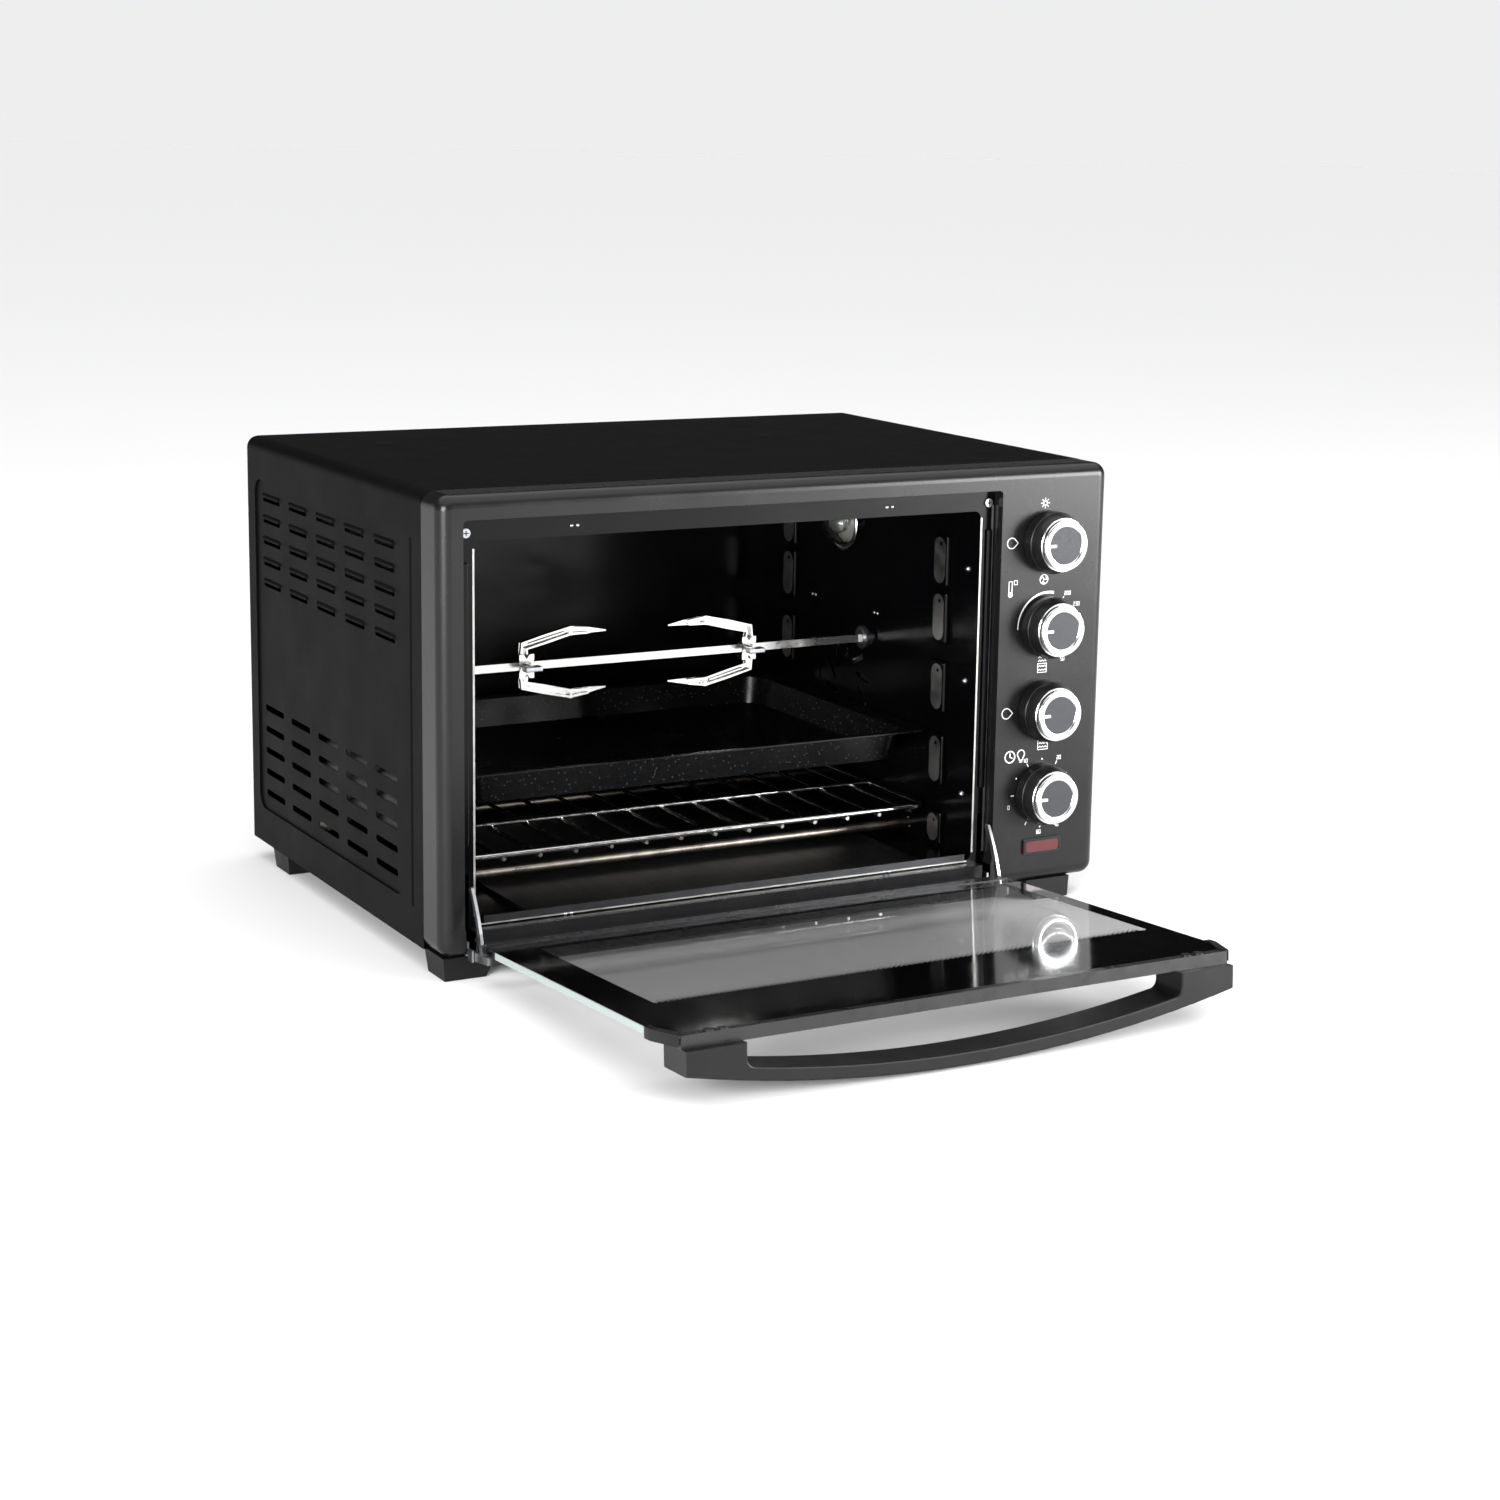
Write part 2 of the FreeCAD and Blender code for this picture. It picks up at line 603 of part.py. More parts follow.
def door_glass():
    """Toughened glass panel with cut front corners."""
    half = DOOR_HALF
    y = HINGE_Y + GLASS_BACK - GLASS
    low, high = HINGE_Z + GLASS_LOW, HINGE_Z + GLASS_HIGH
    outline = [(CAVITY_X - half, low), (CAVITY_X + half, low), (CAVITY_X + half, high - 24),
               (CAVITY_X + half - 7.5, high), (CAVITY_X - half + 7.5, high), (CAVITY_X - half, high - 24)]
    return swing_open(plate([(x, y, z) for x, z in outline], GLASS, Y_AXIS))


def door_bottom_rail():
    """Folded steel channel that holds the lower edge of the glass."""
    rail = door_block(ARM_FACE - 0.1, GLASS_LOW - 1.5, 28, -1.5, GLASS_BACK + 0.7)
    groove = door_block(DOOR_HALF + 5, GLASS_LOW, 40, GLASS_BACK - GLASS, GLASS_BACK)
    return swing_open(rail.cut(groove))


def door_top_trim():
    """Edge channel along the top of the glass."""
    rail = door_block(HANDLE_HALF, GLASS_HIGH - 5, TRIM_HIGH, 3, GLASS_BACK + 0.8)
    groove = door_block(DOOR_HALF + 5, 0, GLASS_HIGH, GLASS_BACK - GLASS, GLASS_BACK)
    return swing_open(rail.cut(groove))


def door_handle():
    """Bowed moulded handle: two posts joined by a curved grip."""
    top = 3.0
    outer_r = (HANDLE_HALF ** 2 + (HANDLE_BOW - HANDLE_END) ** 2) / (2 * (HANDLE_BOW - HANDLE_END))
    inner_r = outer_r - GRIP_THICK
    post_low = HANDLE_BOW - GRIP_THICK - inner_r + math.sqrt(inner_r ** 2 - POST_INNER ** 2)
    z = HINGE_Z + HANDLE_FAR - HANDLE_WIDTH

    def at(x, out):
        return Vector(CAVITY_X + x, HINGE_Y - out, z)

    grip = [at(HANDLE_HALF, HANDLE_END), at(0, HANDLE_BOW), at(-HANDLE_HALF, HANDLE_END)]
    hollow = [at(-POST_INNER, post_low), at(0, HANDLE_BOW - GRIP_THICK), at(POST_INNER, post_low)]
    corners = [at(-HANDLE_HALF, -top), at(-POST_INNER, -top), at(POST_INNER, -top), at(HANDLE_HALF, -top)]
    edges = [Part.Arc(*grip).toShape(), Part.Arc(*hollow).toShape(),
             Part.makeLine(grip[2], corners[0]), Part.makeLine(corners[0], corners[1]),
             Part.makeLine(corners[1], hollow[0]), Part.makeLine(hollow[2], corners[2]),
             Part.makeLine(corners[2], corners[3]), Part.makeLine(corners[3], grip[0])]
    wire = Part.Wire(Part.__sortEdges__(edges))
    body = Part.Face(wire).extrude(Z_AXIS * HANDLE_WIDTH)

    def inside_corner(edge):
        across = abs(abs(edge.CenterOfMass.x - CAVITY_X) - POST_INNER) < 0.5
        return runs_along(edge, Z_AXIS) and across and edge.CenterOfMass.y < HINGE_Y

    body = rounded(body, 6.0, inside_corner)

    def low_rim(edge):
        return edge.BoundBox.YMax < HINGE_Y and not runs_along(edge, Z_AXIS)

    return swing_open(rounded(body, 1.2, low_rim))


def handle_screws():
    """Two screws through the trim into each handle post."""
    parts = []
    for x in (-184.0, -174.0, 174.0, 184.0):
        head = rod(3.6, 0.8, (CAVITY_X + x, HINGE_Y + GLASS_BACK + 0.8, HINGE_Z + GLASS_HIGH - 2.5), Y_AXIS)
        parts.append(swing_open(head))
    return Part.makeCompound(parts)


def hinge_arm(side):
    """Stamped arm: an eye on the hinge pin, a cheek under the rail's end, and a curved stay."""
    x = CAVITY_X + side * ARM_FACE
    x = x if side > 0 else x - ARM_THICK

    def at(u, w):
        return Vector(x, HINGE_Y + w, HINGE_Z + u)

    eye = rod(3.6, ARM_THICK, (x, HINGE_Y, HINGE_Z), X_AXIS)
    neck = plate([at(0, -3.3), at(26, -1.5), at(26, 3.7), at(0, 3.3)], ARM_THICK, X_AXIS)
    half = 2.2
    centre = [(15, 1), (10.5, 20), (-1, 46)]
    away = [(0.26, 0.97), (0.33, 0.94), (0.5, 0.87)]
    upper = [at(u + half * rise, w + half * tilt) for (u, w), (tilt, rise) in zip(centre, away)]
    lower = [at(u - half * rise, w - half * tilt) for (u, w), (tilt, rise) in zip(centre, away)]
    edges = [Part.Arc(*upper).toShape(), Part.makeLine(upper[2], lower[2]),
             Part.Arc(*reversed(lower)).toShape(), Part.makeLine(lower[0], upper[0])]
    stay = Part.Face(Part.Wire(edges)).extrude(X_AXIS * ARM_THICK)
    tip = rod(half, ARM_THICK, (x, HINGE_Y + centre[2][1], HINGE_Z + centre[2][0]), X_AXIS)
    hole = rod(PIN_R + 0.05, 10, (x - 3, HINGE_Y, HINGE_Z), X_AXIS)
    return swing_open(fuse([eye, neck, stay, tip]).cut(hole))


def hinge_bracket(side):
    """Plate behind the fascia that carries a hinge pin, with a folded foot."""
    inner = CAVITY_X + side * (ARM_FACE + ARM_THICK + 0.5)
    outer = inner + side * 1.5
    front, rear, low = FASCIA_SHEET + 0.1, RECESS_DEPTH - 0.5, FOOT_HEIGHT + FASCIA_SHEET
    web = box(min(inner, outer), max(inner, outer), front, rear, low, HINGE_Z + 9)
    far = outer + side * 0.8
    foot = box(min(inner, far), max(inner, far), front, rear, low, low + 1)
    ear = box(min(inner, outer), max(inner, outer), HINGE_Y - 3.4, front, low + 0.2, HINGE_Z + 5)
    drop = box(min(inner, outer), max(inner, outer), HINGE_Y - 3.4, HINGE_Y + 3.2, HINGE_Z - 3.4, HINGE_Z + 5)
    hole = rod(PIN_R, 10, (inner - 5, HINGE_Y, HINGE_Z), X_AXIS)
    return fuse([web, foot, ear, drop]).cut(hole)


def hinge_pins():
    """Headed pins that the door turns on."""
    parts = []
    for side in (-1, 1):
        x = CAVITY_X + side * (ARM_FACE - 0.6)
        shank = rod(PIN_R, ARM_THICK + 2.6, (x, HINGE_Y, HINGE_Z), X_AXIS * side)
        head = rod(2.6, 1.0, (x, HINGE_Y, HINGE_Z), X_AXIS * -side)
        parts.append(fuse([shank, head]))
    return Part.makeCompound(parts)


def knob_height(index):
    """Height of a knob's axis."""
    return KNOB_TOP_Z - index * KNOB_PITCH


def knob(index):
    """Moulded knob: wide base, stepped nose, recessed face with a pointer ridge, and its shaft."""
    z = knob_height(index)
    back = -0.8
    base = rod(KNOB_R, 9, (PANEL_X, back, z), Y_AXIS * -1)
    base = rounded(base, 1.2, lambda edge: edge.BoundBox.YMax < back - 8)
    nose = rod(RING_R - 1.8, KNOB_LONG - 1, (PANEL_X, back, z), Y_AXIS * -1)
    pointer = box(PANEL_X - 15, PANEL_X - 6, back - KNOB_LONG, back - KNOB_LONG + 2, z - 0.9, z + 0.9)
    shaft = rod(3.0, 17.8, (PANEL_X, back, z), Y_AXIS)
    return fuse([base, nose, pointer, shaft])


def knob_ring(index):
    """Bright ring round a knob's nose."""
    z = knob_height(index)
    start = -0.8 - 9.0
    length = KNOB_LONG - 9.0
    ring = rod(RING_R, length, (PANEL_X, start, z), Y_AXIS * -1)
    ring = rounded(ring, 0.8, lambda edge: edge.BoundBox.YMax < start - length + 0.1)
    return ring.cut(rod(RING_R - 1.8, 30, (PANEL_X, 5, z), Y_AXIS * -1))


def control_unit(index):
    """Rotary switch, thermostat or timer behind the panel, bored for the knob's shaft."""
    z = knob_height(index)
    half = (17, 15, 17, 20)[index]
    deep = (26, 30, 26, 34)[index]
    body = soft_block(PANEL_X - half, PANEL_X + half, 4, 4 + deep, z - half, z + half, 1.5)
    collar = rod(5.5, 4 - FASCIA_SHEET, (PANEL_X, FASCIA_SHEET, z), Y_AXIS)
    bore = rod(3.05, 16.5, (PANEL_X, 0.8, z), Y_AXIS)
    tabs = [box(PANEL_X + x - 1, PANEL_X + x + 1, 4 + deep, 10 + deep, z - 3, z + 3) for x in (-8, 0, 8)]
    return fuse([body, collar] + tabs).cut(bore)


def indicator_lens():
    """Clear red window of the power indicator, with its flange and snap body."""
    flange = soft_block(LENS_X - 17, LENS_X + 17, -1.6, 0, LENS_Z - 6, LENS_Z + 6, 0.7)
    body = box(LENS_X - 15, LENS_X + 15, -0.8, 14, LENS_Z - 4, LENS_Z + 4)
    return fuse([flange, body])


def foot(x0, x1, y0, y1, inward):
    """Moulded foot that narrows towards the table, steeper on its inner side."""
    lean_left = 8.0 if inward < 0 else 1.0
    lean_right = 8.0 if inward > 0 else 1.0
    rings = []
    for z, left, right, front, rear in ((FOOT_LOW, lean_left, lean_right, 0.0, 4.0), (FOOT_HEIGHT, 0, 0, 0, 0)):
        corners = [(x0 + left, y0 + front), (x1 - right, y0 + front), (x1 - right, y1 - rear),
                   (x0 + left, y1 - rear)]
        points = [Vector(x, y, z) for x, y in corners]
        rings.append(Part.makePolygon(points + [points[0]]))
    return Part.makeLoft(rings, True, True)


def case_screws():
    """Heads of the screws that hold the back cover, the front frame and the feet."""
    parts = []
    for x in (-250, -90, 90, 250):
        for z in (28, 314):
            parts.append(rod(3.2, 1.6, (x, DEPTH - SHEET, z), Y_AXIS))
    for side in (-1, 1):
        x = CAVITY_X + side * (RECESS_HALF - 6)
        parts.append(rod(3.2, 1.4, (x, RECESS_DEPTH, RECESS_HIGH - 10), Y_AXIS * -1))
    return Part.makeCompound(parts)


def mains_inlet():
    """Moulded gland in the back cover for the mains lead."""
    start = DEPTH - SHEET - BACK_SHEET
    neck = rod(8.0, BACK_SHEET, (INLET_X, start, INLET_Z), Y_AXIS)
    head = rod(11.0, 5, (INLET_X, start + BACK_SHEET, INLET_Z), Y_AXIS)
    head = rounded(head, 1.5, lambda edge: edge.BoundBox.YMin > start + BACK_SHEET + 4.5)
    inner = rod(11.0, 2, (INLET_X, start - 2, INLET_Z), Y_AXIS)
    hole = rod(3.6, 20, (INLET_X, start - 5, INLET_Z), Y_AXIS)
    return fuse([neck, head, inner]).cut(hole)


def all_pieces():
    """Every piece of the oven by name, about the cabinet."""
    left, right = -1, 1
    pieces = {
        "outer_shell": outer_shell(), "back_cover": back_cover(), "bottom_plate": bottom_plate(),
        "front_fascia": front_fascia(), "cavity_front_frame": cavity_front_frame(),
        "cavity_left_wall": side_wall(left), "cavity_right_wall": side_wall(right),
        "cavity_back_wall": cavity_back_wall(), "cavity_roof": cavity_deck(ROOF),
        "cavity_floor": cavity_deck(FLOOR - SHEET), "heat_shield": heat_shield(),
        "upper_heaters": heaters(HEATER_HIGH), "lower_heaters": heaters(HEATER_LOW),
        "heater_insulators": heater_insulators(), "lamp_lens": lamp_lens(), "lamp_bulb": lamp_bulb(),
        "lamp_holder": lamp_holder(), "fan_cover": fan_cover(), "fan_wheel": fan_wheel(),
        "fan_motor": fan_motor(), "spit_motor": spit_motor(), "spit_socket": spit_socket(),
        "spit_bearing": spit_bearing(), "spit_rod": spit_rod(),
        "spit_fork_left": spit_fork(FORK_PLACES[0], right),
        "spit_fork_right": spit_fork(FORK_PLACES[1], left), "fork_screws": fork_screws(),
        "wire_rack": wire_rack(), "baking_tray": baking_tray(), "crumb_tray": crumb_tray(),
        "door_glass": door_glass(), "door_bottom_rail": door_bottom_rail(),
        "door_top_trim": door_top_trim(), "door_handle": door_handle(), "handle_screws": handle_screws(),
        "hinge_arm_left": hinge_arm(left), "hinge_arm_right": hinge_arm(right),
        "hinge_bracket_left": hinge_bracket(left), "hinge_bracket_right": hinge_bracket(right),
        "hinge_pins": hinge_pins(), "indicator_lens": indicator_lens(),
        "foot_front_left": foot(-270, -230, 3, 37, right), "foot_front_right": foot(211, 251, 3, 37, left),
        "foot_rear_left": foot(-270, -230, 318, 352, right), "foot_rear_right": foot(211, 251, 318, 352, left),
        "case_screws": case_screws(), "mains_inlet": mains_inlet(),
    }
    for index, name in enumerate(CONTROLS):
        pieces[name + "_unit"] = control_unit(index)
        pieces[name + "_knob"] = knob(index)
        pieces[name + "_knob_ring"] = knob_ring(index)
    return pieces


PIECES = all_pieces()
BOUNDS = Part.makeCompound(list(PIECES.values())).optimalBoundingBox(False, False)
HOME = Vector(-(BOUNDS.XMin + BOUNDS.XMax) / 2, -(BOUNDS.YMin + BOUNDS.YMax) / 2, -FOOT_LOW)

if __name__ == "__main__":
    os.makedirs("parts", exist_ok=True)
    for name, shape in PIECES.items():
        moved = shape.copy()
        moved.translate(HOME)
        moved.exportStep("parts/%s.step" % name)
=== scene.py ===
"""Rotisserie oven with its door down, finished in black enamel, moulded plastic, chrome and glass."""
import bmesh
import bpy
import json
import math
from mathutils import Matrix, Vector


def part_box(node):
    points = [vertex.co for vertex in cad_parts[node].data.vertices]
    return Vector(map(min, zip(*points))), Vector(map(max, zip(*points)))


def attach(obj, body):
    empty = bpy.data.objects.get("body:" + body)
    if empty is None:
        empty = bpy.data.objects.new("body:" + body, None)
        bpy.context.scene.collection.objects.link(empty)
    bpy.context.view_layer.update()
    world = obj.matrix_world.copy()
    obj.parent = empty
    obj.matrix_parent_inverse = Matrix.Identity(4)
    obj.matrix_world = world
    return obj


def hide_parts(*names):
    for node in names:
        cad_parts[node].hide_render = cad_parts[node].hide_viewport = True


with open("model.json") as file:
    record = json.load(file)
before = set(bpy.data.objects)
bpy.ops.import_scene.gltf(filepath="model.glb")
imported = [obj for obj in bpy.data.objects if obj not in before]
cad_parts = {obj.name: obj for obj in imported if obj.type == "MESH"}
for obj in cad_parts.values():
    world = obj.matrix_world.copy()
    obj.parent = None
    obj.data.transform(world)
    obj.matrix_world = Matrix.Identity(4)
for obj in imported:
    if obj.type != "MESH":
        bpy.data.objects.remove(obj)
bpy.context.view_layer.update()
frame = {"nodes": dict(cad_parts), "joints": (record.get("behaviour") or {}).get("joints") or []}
NODES = frame["nodes"]

# Lengths are given in mm and turned to metres by MM
MM = 0.001
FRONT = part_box("front_fascia")[0].y
# Heights are measured from a level 14 mm below the bottom plate
BOTTOM_PLATE_Z = 14
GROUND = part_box("bottom_plate")[0].z - BOTTOM_PLATE_Z * MM
BACK_SCREW_Y = 396.88
CAVITY_X = -39.0
CAVITY_HALF = 205.0
MOUTH_HALF = 203.5
FLANGE_Y = 10.95
PANEL_X = 220.0
KNOB_TOP = 277.5
KNOB_PITCH = 64.7
CONTROLS = ("function", "thermostat", "heater", "timer")
LENS_X = 222.0
LENS_Z = 42.0
SPIT_Y = 172.0
SPIT_Z = 180.0
LAMP_Y = 212
LAMP_Z = 267
SUPPORT_COLUMNS = (62.0, 298.0)
SUPPORT_TOPS = (62.0, 123.0, 180.0, 234.0, 278.0)
HINGE_JOINT = [joint for joint in frame["joints"] if joint["name"] == "door_hinge"][0]
HINGE = Vector(HINGE_JOINT["pos_m"])
DOOR_TURN = -math.radians(HINGE_JOINT["range_deg"][0])

OUT = Vector((0, -1, 0))
RIGHT = Vector((1, 0, 0))
DOOR_IN = Vector((0, math.cos(DOOR_TURN), math.sin(DOOR_TURN)))


def at(x, y, z):
    """A point in mm: across from the cabinet's middle, back from its front face, up from GROUND."""
    return Vector((x * MM, FRONT + y * MM, GROUND + z * MM))


def on_door(x, up, inward):
    """A point in mm on the lowered door, told as if it were shut: across, up and inward of the hinge."""
    s, c = math.sin(DOOR_TURN), math.cos(DOOR_TURN)
    return Vector((x * MM, HINGE.y + (inward * c - up * s) * MM, HINGE.z + (inward * s + up * c) * MM))


# ---------------------------------------------------------------- materials


def linear(hex_colour):
    """An sRGB hex colour as linear values with full opacity."""
    values = [int(hex_colour[i:i + 2], 16) / 255 for i in (1, 3, 5)]
    return [v / 12.92 if v <= 0.04045 else ((v + 0.055) / 1.055) ** 2.4 for v in values] + [1.0]


def add(tree, kind, settings, links):
    """Add one node with its settings, and set or link its inputs."""
    node = tree.nodes.new(kind)
    for name, value in settings.items():
        setattr(node, name, value)
    for name, value in links.items():
        if isinstance(value, bpy.types.NodeSocket):
            tree.links.new(value, node.inputs[name])
        else:
            node.inputs[name].default_value = value
    return node


def start(name, colour, roughness, **sockets):
    """A new material, its tree, its shader and the place on the object in metres.

    The colour and roughness are plain middle values, which vary and tint spread into patches.
    """
    material = bpy.data.materials.new(name)
    material.use_nodes = True
    tree = material.node_tree
    shader = tree.nodes["Principled BSDF"]
    values = {"Base Color": linear(colour), "Roughness": roughness}
    values.update({key.replace("_", " "): value for key, value in sockets.items()})
    for key, value in values.items():
        shader.inputs[key].default_value = value
    place = add(tree, "ShaderNodeTexCoord", {}, {}).outputs["Object"]
    return material, tree, shader, place


def vary(tree, shader, place, socket, size_mm, low, high, detail=3.0, stretch=(1, 1, 1)):
    """Let a socket wander between two values in patches of a real size."""
    moved = add(tree, "ShaderNodeMapping", {}, {"Vector": place, "Scale": stretch})
    cloud = add(tree, "ShaderNodeTexNoise", {}, {
        "Vector": moved.outputs["Vector"], "Scale": 1 / (size_mm * MM), "Detail": detail})
    ramp = add(tree, "ShaderNodeMapRange", {}, {
        "Value": cloud.outputs["Fac"], "From Min": 0.3, "From Max": 0.7, "To Min": low, "To Max": high})
    tree.links.new(ramp.outputs["Result"], shader.inputs[socket])
    return cloud


def tint(tree, shader, cloud, dark, light):
    """Let the colour wander between two hex colours with a pattern."""
    mixed = add(tree, "ShaderNodeMix", {"data_type": "RGBA"}, {0: cloud, 6: linear(dark), 7: linear(light)})
    tree.links.new(mixed.outputs[2], shader.inputs["Base Color"])


def grain(tree, shader, place, size_mm, height_mm, detail=2.0, stretch=(1, 1, 1), under=None):
    """Bump of a grain size and height in mm.

    Textures under about 0.5 mm in reality are drawn coarser, because they would be too fine to show.
    """
    moved = add(tree, "ShaderNodeMapping", {}, {"Vector": place, "Scale": stretch})
    cloud = add(tree, "ShaderNodeTexNoise", {}, {
        "Vector": moved.outputs["Vector"], "Scale": 1 / (size_mm * MM), "Detail": detail})
    links = {"Height": cloud.outputs["Fac"], "Distance": height_mm * MM, "Strength": 1.0}
    if under:
        links["Normal"] = under
    bump = add(tree, "ShaderNodeBump", {}, links)
    tree.links.new(bump.outputs["Normal"], shader.inputs["Normal"])
    return bump.outputs["Normal"]


def powder_coated_case():
    """Polyester powder coat baked on sheet steel: near black, satin, with a faint orange peel."""
    material, tree, shader, place = start(
        "case_powder_coated_steel", "#070708", 0.48, IOR=1.5, Specular_IOR_Level=0.03)
    cloud = vary(tree, shader, place, "Roughness", 45, 0.44, 0.52)
    tint(tree, shader, cloud.outputs["Fac"], "#060607", "#0a0a0b")
    grain(tree, shader, place, 1.6, 0.012)
    return material


def satin_fascia():
    """Satin enamel sprayed on the pressed steel front: dark grey, smoother than the case."""
    material, tree, shader, place = start(
        "fascia_satin_enamelled_steel", "#121213", 0.26, IOR=1.5, Specular_IOR_Level=0.26)
    cloud = vary(tree, shader, place, "Roughness", 30, 0.24, 0.29)
    tint(tree, shader, cloud.outputs["Fac"], "#101011", "#151516")
    grain(tree, shader, place, 1.1, 0.006)
    return material


def vitreous_enamel():
    """Black enamel fired on the cavity's steel: glossy, with slow ripples that bend reflections."""
    material, tree, shader, place = start(
        "cavity_vitreous_enamel", "#030304", 0.2, IOR=1.55, Specular_IOR_Level=0.13)
    vary(tree, shader, place, "Roughness", 60, 0.13, 0.24)
    ripple = grain(tree, shader, place, 34, 0.05, 1.0)
    grain(tree, shader, place, 1.4, 0.004, under=ripple)
    return material


def tray_enamel():
    """Black enamel on the pressed tray: glossy with tiny pale specks from the glaze."""
    material, tree, shader, place = start(
        "tray_speckled_enamel", "#08080a", 0.2, IOR=1.55, Specular_IOR_Level=0.25)
    specks = add(tree, "ShaderNodeTexVoronoi", {}, {"Vector": place, "Scale": 1 / (3.2 * MM)})
    near = add(tree, "ShaderNodeMapRange", {}, {
        "Value": specks.outputs["Distance"], "From Min": 0.1, "From Max": 0.14, "To Min": 1.0, "To Max": 0.0})
    tint(tree, shader, near.outputs["Result"], "#070708", "#4a4a4c")
    vary(tree, shader, place, "Roughness", 40, 0.16, 0.28)
    grain(tree, shader, place, 18, 0.03, 1.0)
    return material


def bright_nickel_wire():
    """Drawn steel plated with bright nickel: mirror like, with the fine lines of drawing, made coarser."""
    material, tree, shader, place = start("wire_nickel_plated_steel", "#c4c3c0", 0.14, Metallic=1.0)
    vary(tree, shader, place, "Roughness", 8, 0.1, 0.22)
    grain(tree, shader, place, 0.7, 0.01, stretch=(0.1, 1, 1))
    return material


def stamped_nickel():
    """Stamped steel plated with nickel: bright, slightly rippled by the press."""
    material, tree, shader, place = start("fork_nickel_plated_steel", "#dad9d6", 0.16, Metallic=1.0)
    vary(tree, shader, place, "Roughness", 6, 0.12, 0.24)
    grain(tree, shader, place, 5, 0.06, 1.0)
    return material


def polished_chrome():
    """Satin chrome plated on moulded ABS: bright, with reflections softened by a fine blast."""
    material, tree, shader, place = start("knob_ring_chrome_plated_abs", "#e9eaea", 0.2, Metallic=1.0)
    vary(tree, shader, place, "Roughness", 3, 0.17, 0.25)
    return material


def heater_steel():
    """Stainless heating tube dulled by heat: grey with straw-coloured and darker patches."""
    material, tree, shader, place = start("heater_oxidised_stainless", "#77736d", 0.34, Metallic=1.0)
    cloud = vary(tree, shader, place, "Roughness", 14, 0.26, 0.42)
    tint(tree, shader, cloud.outputs["Fac"], "#5d5a57", "#938d82")
    grain(tree, shader, place, 1.0, 0.01)
    return material


def zinc_plate():
    """Bright zinc plate on folded steel: pale grey metal with soft spangle."""
    material, tree, shader, place = start("bracket_zinc_plated_steel", "#a4a6a8", 0.32, Metallic=1.0)
    spangle = add(tree, "ShaderNodeTexVoronoi", {}, {"Vector": place, "Scale": 1 / (6 * MM)})
    ramp = add(tree, "ShaderNodeMapRange", {}, {
        "Value": spangle.outputs["Color"], "To Min": 0.24, "To Max": 0.4})
    tree.links.new(ramp.outputs["Result"], shader.inputs["Roughness"])
    grain(tree, shader, place, 1.5, 0.01)
    return material


def support_plate():
    """Plated steel of the rack supports' faces and the mouth's edges: pale, satin and dulled by heat."""
    material, tree, shader, place = start("support_plated_steel", "#a2a19e", 0.38, Metallic=1.0)
    cloud = vary(tree, shader, place, "Roughness", 9, 0.32, 0.46)
    tint(tree, shader, cloud.outputs["Fac"], "#8f8e8b", "#adacaa")
    return material


def brushed_aluminium():
    """Crumb tray of rolled aluminium: rolling lines, made coarser, run from front to back."""
    material, tree, shader, place = start("crumb_tray_rolled_aluminium", "#48494b", 0.3, Metallic=1.0)
    vary(tree, shader, place, "Roughness", 3, 0.28, 0.35, stretch=(1, 0.05, 1))
    grain(tree, shader, place, 0.9, 0.004, stretch=(1, 0.04, 1))
    return material


def toughened_glass():
    """Toughened soda-lime float glass, a thin grey pane: see-through, with a mirror shine at a low angle."""
    material, tree, shader, place = start(
        "door_toughened_glass", "#0b0c0c", 0.0, IOR=1.52, Alpha=0.38)
    vary(tree, shader, place, "Roughness", 70, 0.0, 0.03)
    return material


def glass_print():
    """Black ceramic ink fired into the glass: flat, even and as glossy as the glass round it."""
    material, tree, shader, place = start("door_ceramic_ink", "#040404", 0.08, IOR=1.5)
    vary(tree, shader, place, "Roughness", 25, 0.05, 0.11)
    return material


def textured_plastic(name, colour, low, high, size_mm, height_mm, shine=0.4):
    """Moulded heat-proof plastic: a spark-eroded texture, made coarser, breaks the shine into satin."""
    material, tree, shader, place = start(name, colour, low, IOR=1.48, Specular_IOR_Level=shine)
    vary(tree, shader, place, "Roughness", 20, low, high)
    grain(tree, shader, place, size_mm, height_mm, 3.0)
    return material


def knob_cap():
    """Blasted and anodised aluminium disc: dark grey with a fine, even grain, made coarser."""
    material, tree, shader, place = start("knob_cap_anodised_aluminium", "#353638", 0.5, Metallic=0.8)
    vary(tree, shader, place, "Roughness", 2, 0.46, 0.56)
    grain(tree, shader, place, 0.5, 0.004)
    return material


def screen_ink():
    """White epoxy ink screen printed on the front: matt and slightly uneven."""
    material, tree, shader, place = start("panel_white_ink", "#d9d9d7", 0.5, IOR=1.5)
    vary(tree, shader, place, "Roughness", 2, 0.42, 0.58)
    return material


def red_lens():
    """Moulded red polycarbonate over an unlit lamp: a dark red with a glossy face."""
    material, tree, shader, place = start("indicator_red_polycarbonate", "#470e11", 0.14, IOR=1.58)
    cloud = vary(tree, shader, place, "Roughness", 6, 0.1, 0.18)
    tint(tree, shader, cloud.outputs["Fac"], "#3d0a0d", "#521216")
    return material


def lamp_glass():
    """Pressed borosilicate glass of the lamp's dome and bulb: clear with a slight ripple."""
    material, tree, shader, place = start(
        "lamp_borosilicate_glass", "#e4e8e8", 0.03, IOR=1.47, Transmission_Weight=1.0)
    grain(tree, shader, place, 5, 0.15, 1.0)
    return material


def ground_edge():
    """Edge of the glass ground with a wheel: pale grey-green and matt."""
    material, tree, shader, place = start("door_ground_glass_edge", "#8f9896", 0.45, IOR=1.52)
    vary(tree, shader, place, "Roughness", 4, 0.38, 0.52)
    grain(tree, shader, place, 0.9, 0.01)
    return material


